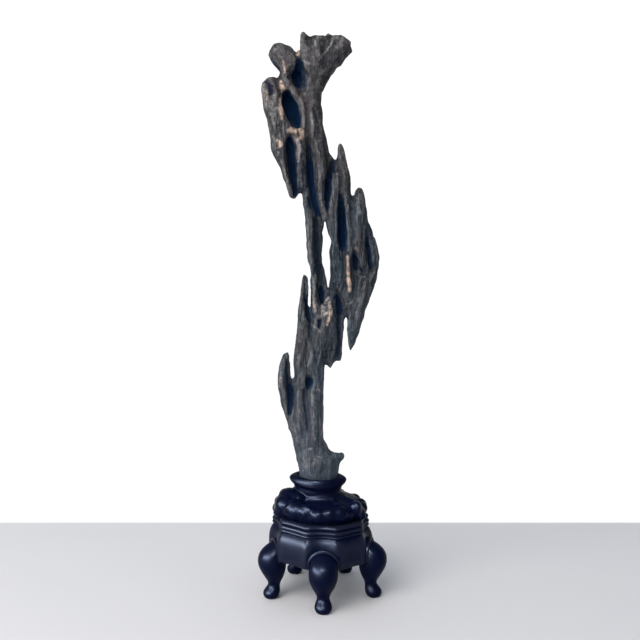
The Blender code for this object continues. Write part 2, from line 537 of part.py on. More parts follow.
def turned_object(name, shape, degrees, look=None):
    """An object modelled along +X, turned to face the way of a leg."""
    obj = new_object(name, shape, look)
    obj.rotation_euler.z = math.radians(degrees)
    bpy.context.view_layer.update()
    return obj


def stand_body(look):
    obj = skirt()
    fuse(obj, rockwork(), "UNION")
    fuse(obj, collar(), "UNION")
    fuse(obj, socket(), "DIFFERENCE")
    for name, degrees in LEGS.items():
        fuse(obj, turned_object(name + "_arch", arch_edge(), degrees), "UNION")
    for name, degrees in LEGS.items():
        fuse(obj, turned_object(name + "_pocket", leg_shape(GAP), degrees), "DIFFERENCE")
    radius, depth = UNDERSIDE_RECESS
    shape = bmesh.new()
    bmesh.ops.create_cone(shape, cap_ends=True, segments=36, radius1=radius + depth, radius2=radius - depth,
                          depth=2 * depth)
    shape.transform(Matrix.Translation((*BODY_CENTRE, SKIRT_PROFILE[0][0])))
    fuse(obj, new_object("recess", shape), "DIFFERENCE")
    drop_crumbs(obj)
    obj.data.materials.clear()
    obj.data.materials.append(look)
    obj.data.shade_smooth()
    obj.data.set_sharp_from_angle(angle=math.radians(35))
    return obj


def leg(name, degrees, look):
    obj = turned_object(name, leg_shape(0.0), degrees, look)
    obj.data.shade_smooth()
    obj.data.set_sharp_from_angle(angle=math.radians(50))
    return obj


def main():
    clear_scene()
    dark_stone = material("dark_stone", (0.040, 0.035, 0.037), 0.55)
    dark_wood = material("dark_wood", (0.014, 0.009, 0.010), 0.32)
    pieces = [stone(dark_stone), stand_body(dark_wood)]
    pieces += [leg(name, degrees, dark_wood) for name, degrees in LEGS.items()]
    for piece in pieces:
        piece.location = Vector((*MIDDLE, 0)) * -MM


main()
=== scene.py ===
import math
import bpy
import numpy as np
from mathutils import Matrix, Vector, noise
from mathutils.bvhtree import BVHTree
from mathutils.kdtree import KDTree


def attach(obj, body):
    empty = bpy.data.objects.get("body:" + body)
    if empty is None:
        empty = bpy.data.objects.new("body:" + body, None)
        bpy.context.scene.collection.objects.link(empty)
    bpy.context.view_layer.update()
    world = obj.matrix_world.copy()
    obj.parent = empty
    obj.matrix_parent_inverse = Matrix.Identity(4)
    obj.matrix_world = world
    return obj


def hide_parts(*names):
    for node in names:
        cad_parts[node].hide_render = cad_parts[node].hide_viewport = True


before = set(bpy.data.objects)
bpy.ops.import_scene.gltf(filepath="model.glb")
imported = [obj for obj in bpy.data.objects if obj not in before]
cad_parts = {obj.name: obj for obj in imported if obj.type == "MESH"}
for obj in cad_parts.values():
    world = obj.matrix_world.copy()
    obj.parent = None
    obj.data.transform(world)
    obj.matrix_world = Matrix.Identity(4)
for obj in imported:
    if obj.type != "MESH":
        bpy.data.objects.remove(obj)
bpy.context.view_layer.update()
mm = 0.001
scene = bpy.context.scene
eye = Vector((-0.0026, -0.90693, 0.388))  # where the camera stands


# small helpers

def deselectAll():
    if bpy.context.object and bpy.context.object.mode != "OBJECT":
        bpy.ops.object.mode_set(mode="OBJECT")
    bpy.ops.object.select_all(action="DESELECT")


def pick(obj):
    deselectAll()
    obj.select_set(True)
    bpy.context.view_layer.objects.active = obj


def startEdit(obj):
    pick(obj)
    bpy.ops.object.mode_set(mode="EDIT")
    bpy.ops.mesh.select_all(action="SELECT")


def endEdit():
    # the faces are turned outwards on the way
    bpy.ops.mesh.select_all(action="SELECT")
    bpy.ops.mesh.normals_make_consistent(inside=False)
    bpy.ops.object.mode_set(mode="OBJECT")


def fillRing(obj):
    # a face across a ring of points, ready to be extruded
    startEdit(obj)
    bpy.ops.mesh.edge_face_add()
    bpy.ops.mesh.select_all(action="SELECT")


def extrude(x, y, z):
    bpy.ops.mesh.extrude_region_move(TRANSFORM_OT_translate={"value": (x * mm, y * mm, z * mm)})


def applyModifier(obj, kind, name, **settings):
    pick(obj)
    modifier = obj.modifiers.new(name, kind)
    for key, value in settings.items():
        setattr(modifier, key, value)
    bpy.ops.object.modifier_apply(modifier=modifier.name)


def remesh(obj, voxel, ease):
    applyModifier(obj, "REMESH", "Remesh", mode="VOXEL", voxel_size=voxel * mm)
    applyModifier(obj, "SMOOTH", "Ease", factor=0.5, iterations=ease)


def boolean(obj, other, operation):
    applyModifier(obj, "BOOLEAN", "Boolean", operation=operation, solver="EXACT", object=other)
    bpy.data.objects.remove(other, do_unlink=True)


def copyNode(node, name):
    # a piece that starts as a copy of a solid
    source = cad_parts[node]
    piece = bpy.data.objects.new(name, source.data.copy())
    piece.data.name = name
    scene.collection.objects.link(piece)
    piece.data.materials.clear()
    startEdit(piece)
    bpy.ops.mesh.remove_doubles(threshold=0.01 * mm)
    endEdit()
    return piece


def joinPieces(pieces, name):
    deselectAll()
    for piece in pieces:
        piece.select_set(True)
    bpy.context.view_layer.objects.active = pieces[0]
    bpy.ops.object.join()
    joined = bpy.context.object
    joined.name = joined.data.name = name
    return joined


def smoothByAngle(obj, degrees):
    pick(obj)
    bpy.ops.object.shade_smooth_by_angle(angle=math.radians(degrees))


def readPoints(mesh):
    points = np.empty(len(mesh.vertices) * 3)
    mesh.vertices.foreach_get("co", points)
    return points.reshape(-1, 3)


def readNormals(mesh):
    normals = np.empty(len(mesh.vertices) * 3)
    mesh.vertex_normals.foreach_get("vector", normals)
    return normals.reshape(-1, 3)


def writePoints(mesh, points):
    mesh.vertices.foreach_set("co", points.reshape(-1))
    mesh.update()


def spread(values, mesh, times):
    # averages a value over each point's neighbours
    pairs = np.empty(len(mesh.edges) * 2, dtype=np.int64)
    mesh.edges.foreach_get("vertices", pairs)
    pairs = pairs.reshape(-1, 2)
    count = np.bincount(pairs.ravel(), minlength=len(values))
    for _ in range(times):
        around = np.zeros_like(values)
        np.add.at(around, pairs[:, 0], values[pairs[:, 1]])
        np.add.at(around, pairs[:, 1], values[pairs[:, 0]])
        shape = (-1,) + (1,) * (values.ndim - 1)
        values = 0.5 * values + 0.5 * around / np.maximum(count, 1).reshape(shape)
    return values


def addAttribute(mesh, name, values):
    attribute = mesh.attributes.new(name, "FLOAT", "POINT")
    attribute.data.foreach_set("value", values.astype(np.float32))


masks = {
    "rays": 9,
    "rayLift": 0.4,  # mm off the surface
    "skyEase": 3,
    "edgeEase": 6,
}


def skyMask(obj, reach):
    # how much of the open air each point sees, 0 in a deep hollow to 1
    mesh = obj.data
    points, normals = readPoints(mesh), readNormals(mesh)
    tree = BVHTree.FromObject(obj, bpy.context.evaluated_depsgraph_get())
    golden = math.pi * (3 - math.sqrt(5))
    rays = masks["rays"]
    seen = np.zeros(len(points))
    for i, (point, normal) in enumerate(zip(points, normals)):
        direction = Vector(normal)
        side = direction.orthogonal().normalized()
        other = direction.cross(side)
        start = Vector(point) + direction * (masks["rayLift"] * mm)
        free = 0
        for k in range(rays):
            rise = math.sqrt(1 - (k + 0.5) / rays)
            flat = math.sqrt(1 - rise * rise)
            turn = golden * k + i
            ray = direction * rise + side * (flat * math.cos(turn)) + other * (flat * math.sin(turn))
            if tree.ray_cast(start, ray, reach * mm)[0] is None:
                free += 1
        seen[i] = free / rays
    return spread(seen, mesh, masks["skyEase"])


def edgeMask(obj):
    # above 0.5 on ridges, below in creases
    mesh = obj.data
    points = readPoints(mesh)
    eased = spread(points, mesh, masks["edgeEase"])
    out = ((points - eased) * readNormals(mesh)).sum(1) / mm
    return np.clip(0.5 + out, 0, 1)


# stone

rock = {
    "voxel": 1.2,  # mm
    "ease": 3,
    "easeCarved": 2,
    "puff": 0.45,  # gives back what easing takes off thin edges, mm
    "footTop": 131.0,  # the relief fades out from here down, over
    "footFade": 12,
    "crownFrom": 480,  # smoother at the top, where it breaks in broad facets
    "crownFade": 30,
    "flow": [(117, -5), (195, -12), (240, -15), (275, -8), (305, 0), (340, 10), (375, 12), (400, 8), (435, 0),
             (457, -7), (487, -15), (520, -18), (545, -16), (578, -8)],  # how the flutes lean: (z, x)
    "flutes": 0.9,  # heights of the relief, mm
    "wrinkles": 0.35,
    "facets": 0.6,
    "fluteSize": (4.6, 34),  # mm across and along
    "crestSize": (3.6, 24),
    "wrinkleSize": (2.2, 9),
    "facetSize": (9, 12),
    "leastWall": 4.0,  # mm, that a cut leaves
    "slitReach": 60,  # how far to the front and back the cutter goes
    "slits": {  # open right through, (x, z)
        "middle": [(1.7, 393.5), (0.5, 381.5), (-0.5, 371.5), (0.5, 363), (-1.5, 355), (-1, 347),
                   (1.5, 341.5), (3.5, 330.5), (5, 320.5), (7, 320.5), (8, 333.5), (8.5, 349), (7, 359),
                   (9, 365.5), (8, 371.5), (5.5, 379.5), (3.4, 393.5)],
        "finger": [(-13, 349), (-15.5, 341), (-15, 330.5), (-14, 320.5), (-13.5, 304.5), (-12, 304.5),
                   (-12, 320.5), (-12, 330.5), (-12, 339)],
    },
    "skyReach": 30,
    "smoothAngle": 40,
    "paint": (0.5, 1.4),  # painted strokes are full out to one share of their reach and end at the other
}


# strokes on the front, as seen from the camera, on the upright plane through the middle:
# strength, then (x, z, reach) in mm along each
marks = {
    "cuts": {
        "crown eye": (4.5, [(-23.5, 547, 5), (-24.5, 540, 7.5), (-23.5, 532.5, 7.5), (-19.5, 524.5, 5)]),
        "crown eye left": (3.0, [(-30.5, 541, 4), (-30.5, 532.5, 4)]),
        "blade hollow": (3.0, [(-33.5, 514, 7), (-30.5, 503, 9), (-27.5, 494, 8), (-23.5, 486.5, 4.5)]),
        "trough": (5.0, [(-35, 470.5, 6), (-32, 459.5, 7), (-31, 446.5, 7), (-29, 434.5, 6), (-28, 423.5, 4.5),
            (-28, 416.5, 3)]),
        "blade slot": (2.0, [(-53.5, 524.5, 2.5), (-51.5, 517.5, 2.5)]),
        "lobe notch": (1.0, [(-56.5, 528.5, 1.3), (-53.5, 526.5, 1.3), (-50.5, 528.5, 1.3)]),
        "crown groove": (1.8, [(-9.5, 503, 1.2), (-7.5, 497, 1.5), (-4.5, 487.5, 1.5), (-3.5, 477.5, 1.2)]),
        "crown flute": (1.0, [(-6.5, 534.5, 3), (-6.5, 522.5, 3), (-8.5, 513, 2)]),
        "crown crease": (0.7, [(13.5, 566.5, 1.6), (9.5, 559.5, 1.8), (4.5, 553, 1.8)]),
        "crown hollow right": (1.8, [(8.5, 552, 6), (15.5, 554, 5), (2.5, 544, 5)]),
        "trunk groove": (3.0, [(-15.5, 471.5, 3.5), (-14.5, 461.5, 4.5), (-13.5, 449.5, 4.5), (-11.5, 436.5, 4.5),
            (-10.5, 423.5, 4.5), (-8.5, 411.5, 4.5), (-5.5, 402.5, 4), (-1.5, 395.5, 2.5)]),
        "trunk hollow": (1.8, [(-13.5, 408.5, 3.5), (-14.5, 413.5, 2.5)]),
        "spine face": (1.5, [(-6.5, 389.5, 4.5), (-7.5, 375.5, 5), (-6.5, 361, 5), (-5.5, 349, 4.5),
            (-3.5, 336.5, 4), (-3.5, 326.5, 3.5)]),
        "spine line": (1.4, [(-2.5, 371.5, 1.4), (-3, 356, 1.4), (-2.5, 343, 1.4), (-1.5, 330.5, 1.4)]),
        "neck under notch": (2.5, [(9.5, 448.5, 4), (8.5, 441.5, 4), (4.5, 433.5, 2.2), (3.5, 425.5, 2.4),
            (3.5, 416.5, 3.2), (4.5, 407.5, 3.4), (5.5, 400.5, 2)]),
        "ridge groove": (2.5, [(20.5, 411.5, 3), (19.5, 399.5, 3.5), (18.5, 389.5, 4), (20, 377.5, 4.2),
            (21, 368.5, 4), (21, 363, 2.5)]),
        "rib groove": (2.5, [(45, 374.5, 1.8), (45.5, 364, 3), (46.5, 354, 3), (48.5, 345, 3), (49.5, 341, 2)]),
        "rib pit": (2.5, [(32, 355, 3), (32, 349, 4), (34, 343, 3)]),
        "rib pit tail": (1.4, [(37, 344, 1.8), (41.5, 340, 1.8), (39.5, 336.5, 1.3)]),
        "inner groove": (3.0, [(10.5, 329.5, 1.2), (14, 318.5, 2.5), (15, 309, 4.5), (17, 300, 4.5),
            (16, 289.5, 3.5), (16, 277, 3), (16, 263.5, 2)]),
        "column pit": (2.5, [(-1.5, 322.5, 3.3), (-1.5, 313, 4.3), (-0.5, 307, 3)]),
        "small pit": (2.5, [(-3.5, 288.5, 2.8), (-4, 282, 2.2)]),
        "finger groove": (2.5, [(-18, 325.5, 1.5), (-18, 314, 2.2), (-17, 303, 3), (-15, 293.5, 3.4),
            (-14, 288.5, 2)]),
        "low pit": (2.8, [(-15, 228, 5.5), (-12, 225, 5.5), (-16, 220.5, 4)]),
        "low groove": (1.8, [(-19, 216.5, 2.5), (-19, 204, 3), (-17, 191, 3), (-16, 178.5, 3.2), (-17, 168, 2)]),
        "finger inside": (3.0, [(-37.5, 248, 1.6), (-36.5, 237.5, 2.6), (-35.5, 227, 3.5), (-33.5, 216.5, 4.5),
            (-33.5, 206, 4.2), (-34, 196.5, 3.4), (-34, 189, 1.8)]),
        "column line left": (1.0, [(-13, 275, 1.1), (-10, 262.5, 1.3), (-8, 251, 1.3), (-6.5, 239.5, 1.1)]),
        "column line right": (0.9, [(-4.5, 204, 1.1), (-4.5, 187, 1.2), (-4, 172, 1.2), (-4.5, 159.5, 1)]),
        "column line mid": (0.8, [(-22, 269, 1.2), (-20, 256.5, 1.3), (-19, 244, 1.2)]),
        "foot step": (0.9, [(-19.5, 154, 1.2), (-15, 156, 1.2), (-11, 157, 1.2)]),
        "boss ring": (1.6, [(-10, 127.5, 1.6), (-11, 136, 1.5), (-10, 143.5, 1.4), (-5.5, 147.5, 1.3),
            (-0.5, 146, 1.4), (3.5, 140, 1.5), (4.5, 132.5, 1.5)]),
        "break": (0.8, [(37, 339, 1), (42.5, 335.5, 1.1), (47.5, 338, 1.1), (52.5, 340, 1)]),
    },
    "raised": {
        "eye brow": (1.0, [(-22.5, 551, 1.6), (-18.5, 548.5, 1.6), (-12.5, 546.5, 1.6)]),
        "lobe ridge": (1.2, [(-40.5, 552, 1.4), (-39.5, 546, 1.6), (-37.5, 539, 1.5)]),
        "hollow rim left": (0.9, [(-41.5, 522.5, 1.8), (-40.5, 515, 1.8), (-42.5, 507, 1.8), (-41.5, 498, 1.8),
            (-38.5, 491, 1.6)]),
        "hollow rim right": (0.8, [(-22.5, 518.5, 1.4), (-19.5, 507, 1.4), (-18.5, 494, 1.4), (-18.5, 484.5, 1.4)]),
        "bridge": (1.2, [(-32.5, 481.5, 2.2), (-26.5, 481.5, 2.2), (-21.5, 478.5, 2.6)]),
        "bridge drop": (1.0, [(-24.5, 471.5, 2.2), (-23.5, 463.5, 2.2), (-24, 454.5, 1.3)]),
        "trough rim left": (0.8, [(-49, 476.5, 1.8), (-46, 463.5, 1.8), (-41, 451.5, 1.8), (-38, 439.5, 1.6),
            (-35, 427.5, 1.5), (-33, 417.5, 1.4)]),
        "trough rim right": (0.8, [(-23, 445.5, 1.4), (-22, 435.5, 1.6), (-21, 425.5, 1.5)]),
        "trunk streak": (1.1, [(-11.5, 499, 1.4), (-10.5, 490, 1.6), (-9.5, 481.5, 1.6), (-10.5, 474.5, 1.2)]),
        "middle ridge": (1.3, [(-2.5, 461.5, 2), (-1.5, 449.5, 2.2), (-2.5, 437.5, 2.2), (-3.5, 425.5, 1.8),
            (-3.5, 416.5, 1.5), (-0.5, 407.5, 1.6), (2.5, 397.5, 1.7), (2.5, 391.5, 1.4)]),
        "spur edge": (1.0, [(14.5, 440.5, 1.2), (15.5, 431.5, 1.3), (15.5, 421.5, 1.3), (14.5, 410.5, 1.2),
            (13.5, 396.5, 1.3), (13.5, 381.5, 1.3), (13.5, 369.5, 1.3)]),
        "groove edge": (1.0, [(26, 406.5, 1.3), (24, 395.5, 1.3), (26, 383.5, 1.3), (27, 371.5, 1.3),
            (26, 361, 1.3)]),
        "second spur": (1.0, [(36, 415.5, 2.2), (36, 403.5, 2.2), (35, 391.5, 1.8)]),
        "tan bar": (1.3, [(25, 355, 2), (26, 345, 2.2), (27, 333.5, 2.4), (28, 321.5, 2.2)]),
        "spine edge": (0.8, [(-15, 389.5, 1.4), (-14, 373.5, 1.4), (-13, 357, 1.4), (-11, 341, 1.4),
            (-8.5, 324.5, 1.4), (-8.5, 310, 1.4), (-7.5, 297.5, 1.4)]),
        "tan knob": (1.4, [(6.5, 310, 2), (7.5, 302, 2.6), (6.5, 292.5, 2.6), (4.5, 285.5, 1.6)]),
        "tan knob left": (1.0, [(0.5, 301, 2), (0.5, 293.5, 1.8)]),
        "column face": (1.0, [(-10, 216.5, 2.5), (-9.5, 200.5, 2.6), (-9.5, 185, 2.6), (-8.5, 169, 2.2),
            (-8, 157, 1.6)]),
        "column left": (0.8, [(-24.5, 218.5, 2), (-24.5, 204, 2), (-25.5, 189, 2), (-24.5, 174.5, 1.8)]),
        "mid strand": (0.8, [(-14, 264.5, 2.2), (-14, 252, 2.4), (-14, 241.5, 2), (-8, 235.5, 1.8)]),
        "boss": (1.5, [(-4, 139, 4.4), (-3.5, 133.5, 4)]),
        "blade face": (0.7, [(41.5, 325.5, 3), (39.5, 310, 4), (36.5, 294.5, 3.5), (32.5, 279, 2.5)]),
        "crown crease": (0.9, [(9.5, 568.5, 1.1), (7, 562.5, 1.1), (2.5, 556.5, 1.1), (-2.5, 551, 1)]),
    },
    "shade": {
        "crown eye": (1, [(-22.5, 548, 4.5), (-25.5, 540, 6.5), (-27, 532.5, 6.5), (-22.5, 525.5, 5)]),
        "crown eye right": (0.55, [(-19.5, 543, 3), (-18.5, 533.5, 4), (-18.5, 524.5, 3.5)]),
        "blade hollow": (1, [(-33.5, 514, 6.5), (-30.5, 505, 9), (-27, 496, 9), (-24, 489, 5.5)]),
        "trough": (1, [(-34, 471.5, 5), (-33, 461.5, 6.5), (-31, 448.5, 7), (-30, 436.5, 6.5), (-28, 424.5, 5),
            (-28, 417.5, 3)]),
        "blade slot": (0.8, [(-52.5, 524.5, 2.5), (-51.5, 516.5, 2.8)]),
        "lobe side": (0.75, [(-50.5, 550, 2.5), (-46.5, 544, 2.2), (-42.5, 540, 1.6)]),
        "lobe line": (0.9, [(-56.5, 528.5, 1.3), (-53.5, 526, 1.5), (-49.5, 524.5, 1.2)]),
        "crown groove": (0.8, [(-9.5, 503, 1.2), (-7.5, 497, 1.5), (-5.5, 489, 1.4)]),
        "crown flute": (0.3, [(-7.5, 536.5, 5), (-5.5, 524.5, 4), (-7.5, 514, 2.5)]),
        "crown right": (0.5, [(22.5, 557.5, 4.5), (15.5, 554, 6.5), (8.5, 552, 7.5), (2.5, 545, 7.5),
            (-2.5, 536.5, 5.5)]),
        "green trunk": (0.5, [(-5.5, 483.5, 3), (-9.5, 471.5, 5), (-14.5, 461.5, 5.5), (-14.5, 453.5, 5)]),
        "trunk groove": (1, [(-13.5, 447.5, 4.4), (-12, 437.5, 5), (-10.5, 425.5, 5), (-9, 415.5, 4.8),
            (-7.5, 405.5, 4.4), (-3.5, 397.5, 3.2)]),
        "trunk hollow": (0.8, [(-12.5, 411.5, 3), (-13.5, 405.5, 3)]),
        "spine face": (0.62, [(-7.5, 391.5, 5), (-6.5, 376.5, 5.5), (-5.5, 361, 5.5), (-4.5, 347, 5),
            (-2.5, 333.5, 4.5)]),
        "spine line": (0.6, [(-2.5, 373.5, 1.8), (-3, 356, 1.8), (-2.5, 341, 2.2), (-1.5, 328.5, 2.5)]),
        "under notch": (0.75, [(10.5, 448.5, 3.5), (8.5, 442.5, 4), (5.5, 437.5, 2.5)]),
        "neck groove": (0.95, [(3.5, 431.5, 2), (3.5, 421.5, 2.6), (3.5, 412.5, 3.2), (4.5, 404.5, 3)]),
        "ridge groove top": (0.6, [(20.5, 412.5, 3.5), (20.5, 403.5, 4)]),
        "ridge groove": (1, [(18.5, 394.5, 3.5), (18.5, 383.5, 4.2), (20, 373.5, 4.5), (21, 365.5, 3.6)]),
        "rib groove": (0.95, [(45, 373.5, 1.8), (45.5, 363, 2.6), (46.5, 353, 2.8), (48.5, 344, 3.2)]),
        "rib pit": (1, [(32, 354, 3.4), (32, 348, 4), (34, 342, 3)]),
        "rib pit tail": (0.7, [(37, 343, 2), (40.5, 340, 1.8), (43.5, 338, 1.4)]),
        "break": (0.6, [(38.5, 336.5, 1.2), (44.5, 335.5, 1.2), (49.5, 339, 1.4)]),
        "inner groove top": (0.5, [(10.5, 329.5, 1.4), (13, 321.5, 1.8), (8.5, 320.5, 1.8)]),
        "inner groove": (1, [(14, 313, 4), (16.5, 306, 5.2), (17.5, 297.5, 5)]),
        "inner groove low": (0.75, [(17, 289.5, 4.6), (16, 277, 4.2), (16.5, 264.5, 3.6), (15, 253, 2.2)]),
        "column pit": (1, [(-1.5, 322.5, 3.4), (-1.5, 314, 4), (-0.5, 308, 3.2)]),
        "small pit": (1, [(-3.5, 288.5, 2.8), (-4, 282, 2)]),
        "finger groove top": (0.5, [(-19, 333.5, 2), (-18, 322.5, 2.2), (-18, 312, 2.2)]),
        "finger groove": (0.95, [(-18, 310, 2), (-16, 301, 2.8), (-15, 292.5, 3.2), (-13, 288.5, 2)]),
        "low pit": (0.95, [(-15.5, 226.5, 5), (-12.5, 225.5, 5), (-16, 220.5, 3.8)]),
        "low groove": (0.6, [(-18, 215.5, 4.4), (-16.5, 202, 5), (-15, 187, 5), (-14, 174.5, 4)]),
        "finger inside top": (0.7, [(-37.5, 246, 2.2), (-37, 235.5, 3), (-36, 225, 4)]),
        "finger inside": (1, [(-34, 219.5, 5), (-33, 211.5, 5.5), (-33, 202, 4.6), (-34, 192.5, 3.2)]),
        "column line left": (0.6, [(-13, 275, 1), (-10, 262.5, 1.2), (-8, 251, 1.2), (-5.5, 237.5, 1.2)]),
        "column line right": (0.5, [(-4.5, 204, 1.1), (-4.5, 187, 1.2), (-4, 172, 1.2), (-4.5, 157, 1.3)]),
        "column mid": (0.4, [(-22, 263.5, 3), (-20, 252, 3), (-21, 241.5, 2.5)]),
        "spine groove under pit": (0.4, [(-6.5, 279, 2.5), (-2.5, 263.5, 2.5)]),
        "foot boss": (0.25, [(-7, 136, 3.5), (-2.5, 130.5, 3.5)]),
        "foot right": (0.3, [(9, 142.5, 5), (11, 133.5, 4)]),
        "mid": (0.15, [(-1.5, 451.5, 5), (-1.5, 436.5, 5), (-2.5, 421.5, 4)]),
        "spur": (0.15, [(11.5, 431.5, 5), (11.5, 416.5, 5), (11.5, 403.5, 4)]),
    },
    "tan": {
        "crown side": (0.9, [(-23.5, 560.5, 1.4), (-24.5, 555.5, 1.6)]),
        "lobe ridge": (0.6, [(-39.5, 549, 1), (-38.5, 544, 1.2), (-37.5, 538, 1.2)]),
        "hollow rim": (0.95, [(-41.5, 528.5, 1.6), (-39.5, 522.5, 2.9), (-40, 516, 3), (-41.5, 510, 2.9),
            (-41.5, 504, 2.6), (-41, 498, 2.3), (-41.5, 493, 1.5)]),
        "blade blush": (0.4, [(-55.5, 518.5, 1.5), (-56.5, 513, 2), (-56.5, 509, 1.6)]),
        "bridge": (0.95, [(-34.5, 480.5, 1.4), (-31.5, 481.5, 3), (-27.5, 480.5, 2.2)]),
        "bridge right": (0.9, [(-23.5, 482.5, 1.4), (-20.5, 479.5, 2.6), (-20.5, 474.5, 2.4), (-24.5, 472.5, 1.6)]),
        "bridge drop": (0.2, [(-25.5, 470.5, 1.8), (-23.5, 462.5, 1.6), (-23.5, 455.5, 1)]),
        "blade patch": (0.95, [(-45, 470.5, 2), (-42, 467.5, 2.2), (-44, 464.5, 1.4)]),
        "bar": (1, [(25, 354, 2), (25.5, 347, 2), (26.5, 339, 2.5), (27, 330.5, 2.7), (28, 322.5, 2.3),
            (28, 319.5, 1.6)]),
        "bar above": (0.3, [(34, 363, 1.6), (37, 361, 1.2)]),
        "knob": (0.9, [(7.5, 307, 2), (8.5, 301, 2.3), (8.5, 295.5, 2.3), (6.5, 289.5, 2.1), (4.5, 284.5, 1.3)]),
        "knob left": (0.3, [(0.5, 301, 2.2), (0.5, 294.5, 2)]),
        "spine strand": (0.55, [(-10, 314, 1), (-9, 306, 1.2), (-7.5, 299, 1.4)]),
        "finger": (0.3, [(-44, 229, 1.8), (-45, 220.5, 1.5)]),
        "finger top": (0.25, [(-43, 244, 1.5), (-43, 236.5, 1.5)]),
    },
    # pale veins, streaks and flecks, and painted highlights on lit faces and ridge edges
    "pale": {
        "horn": (0.25, [(-22.5, 575, 2), (-20.5, 569, 1.5)]),
        "horn streak": (0.22, [(-19.5, 571, 0.9), (-16.5, 567.5, 0.9)]),
        "horn face": (0.15, [(-19.5, 562.5, 3.5), (-17.5, 555.5, 3.5)]),
        "eye brow": (0.46, [(-23.5, 551.5, 1), (-18.5, 548.5, 1), (-12.5, 546.5, 1.3)]),
        "crown spot": (0.37, [(-7.5, 568.5, 1), (-7.5, 564.5, 1.2)]),
        "crown streak": (0.22, [(-6.5, 559.5, 1.4), (-5.5, 553, 1.4), (-3.5, 555.5, 1)]),
        "crown crease": (0.31, [(9.5, 568.5, 0.8), (7.5, 563.5, 0.9), (3.5, 558.5, 0.8), (-0.5, 554.5, 0.8)]),
        "crown right": (0.19, [(12.5, 563.5, 1.6), (17.5, 560.5, 1.2), (19.5, 568.5, 3)]),
        "lobe top": (0.19, [(-47.5, 560.5, 2), (-41.5, 563.5, 2), (-39.5, 558.5, 2)]),
        "blade face": (0.3, [(-59.5, 524.5, 2.4), (-58.5, 516.5, 2.6), (-54.5, 505, 3.4), (-50.5, 496, 2.8),
            (-46.5, 502, 2.8)]),
        "blade top": (0.3, [(-49.5, 508, 3), (-46.5, 514, 2.4), (-60.5, 522.5, 1.6)]),
        "blade streak": (0.25, [(-50.5, 492, 1.6), (-48, 483.5, 1.4), (-48.5, 488.5, 1.4)]),
        "blade streak low": (0.19, [(-50, 475.5, 1.3), (-46, 461.5, 1.2), (-41, 448.5, 1.2), (-37, 435.5, 1.2),
            (-34, 421.5, 1.2)]),
        "trunk streak": (0.43, [(-11.5, 498, 0.9), (-10.5, 490, 1.2), (-9.5, 481.5, 1.5), (-10.5, 474.5, 1)]),
        "trunk streak left": (0.25, [(-21.5, 516, 1), (-19.5, 507, 1), (-18.5, 496, 1), (-18.5, 484.5, 1)]),
        "eye side": (0.19, [(-16.5, 534.5, 2), (-13.5, 528.5, 1.8), (-20.5, 520.5, 2.5)]),
        "bridge drop": (0.7, [(-25.5, 470.5, 2), (-23, 465.5, 2), (-23.5, 458.5, 1.8), (-24, 450.5, 1)]),
        "trough edge": (0.31, [(-23, 443.5, 0.9), (-22, 434.5, 1.1), (-21, 424.5, 1)]),
        "ridge stripes": (0.28, [(-4.5, 446.5, 0.9), (-3.5, 435.5, 1.1), (-4.5, 425.5, 1)]),
        "ridge stripes right": (0.22, [(-0.5, 453.5, 0.9), (0.5, 443.5, 0.9), (-1.5, 435.5, 0.9)]),
        "ridge end": (0.43, [(-4, 419.5, 1), (-3, 413.5, 1.1), (-0.5, 406.5, 0.9)]),
        "ridge spot": (0.5, [(7, 399.5, 1.2)]),
        "spur face": (0.15, [(10.5, 429.5, 2.5), (10.5, 418.5, 2.5)]),
        "spur edge": (0.34, [(14, 439.5, 0.9), (15.5, 429.5, 0.9), (15.5, 417.5, 0.9), (14.5, 406.5, 0.8)]),
        "spur edge low": (0.25, [(12.5, 391.5, 0.9), (13.5, 379.5, 0.9), (14.5, 365.5, 1.4)]),
        "groove edge": (0.22, [(26, 406.5, 0.8), (24, 393.5, 0.8), (26, 381.5, 0.8), (27, 367.5, 0.8)]),
        "second spur": (0.31, [(35, 413.5, 1.6), (36, 405.5, 2), (37, 397.5, 1.5)]),
        "rib line": (0.22, [(42, 385.5, 0.8), (42, 371.5, 0.8), (42, 357, 0.8)]),
        "rib lower": (0.25, [(50.5, 334.5, 1.4), (48.5, 329.5, 1.2)]),
        "spine edge": (0.22, [(-15, 385.5, 0.9), (-14, 371.5, 0.9), (-13, 359, 0.9)]),
        "spine strand": (0.31, [(-11, 335.5, 1), (-8.5, 322.5, 1), (-8.5, 310, 0.9)]),
        "blade vein": (0.37, [(24, 306, 0.8), (28, 306.5, 0.8), (31, 309, 0.8)]),
        "blade face right": (0.12, [(38.5, 310, 4), (35.5, 293.5, 3), (31.5, 279, 2)]),
        "knob": (0.85, [(5.5, 312, 1.4), (0.5, 304, 2.2), (1, 295.5, 2.2), (5.5, 296.5, 1.4)]),
        "knob low": (0.43, [(6.5, 289.5, 1.2), (5.5, 284.5, 1)]),
        "below small pit": (0.31, [(-1.5, 277, 1.6), (-11, 285.5, 0.9), (-9, 279, 0.8)]),
        "column streaks": (0.22, [(-17, 277, 1.2), (-15, 266.5, 1.2), (-12, 252, 1.2), (-15, 241.5, 1)]),
        "column streak right": (0.25, [(-1.5, 276, 0.9), (-2.5, 263.5, 0.9)]),
        "spot left": (0.19, [(-22, 233.5, 1.4), (-22.5, 230, 1.4)]),
        "spot right": (0.15, [(-6.5, 233.5, 1.1), (-6.5, 230, 1.1)]),
        "finger edge": (0.28, [(-42, 250, 1.4), (-44, 239.5, 1.4), (-43, 228, 1.6), (-44, 219.5, 1.2)]),
        "cross vein": (0.37, [(-9, 216.5, 0.7), (-5.5, 218.5, 0.8), (-2.5, 215.5, 0.8), (0, 213.5, 0.8)]),
        "cross vein up": (0.31, [(-6.5, 214.5, 0.7), (-4.5, 223, 0.9)]),
        "column face": (0.28, [(-11, 211.5, 1.8), (-10.5, 195.5, 2), (-10, 179.5, 1.8), (-8, 163.5, 1.4)]),
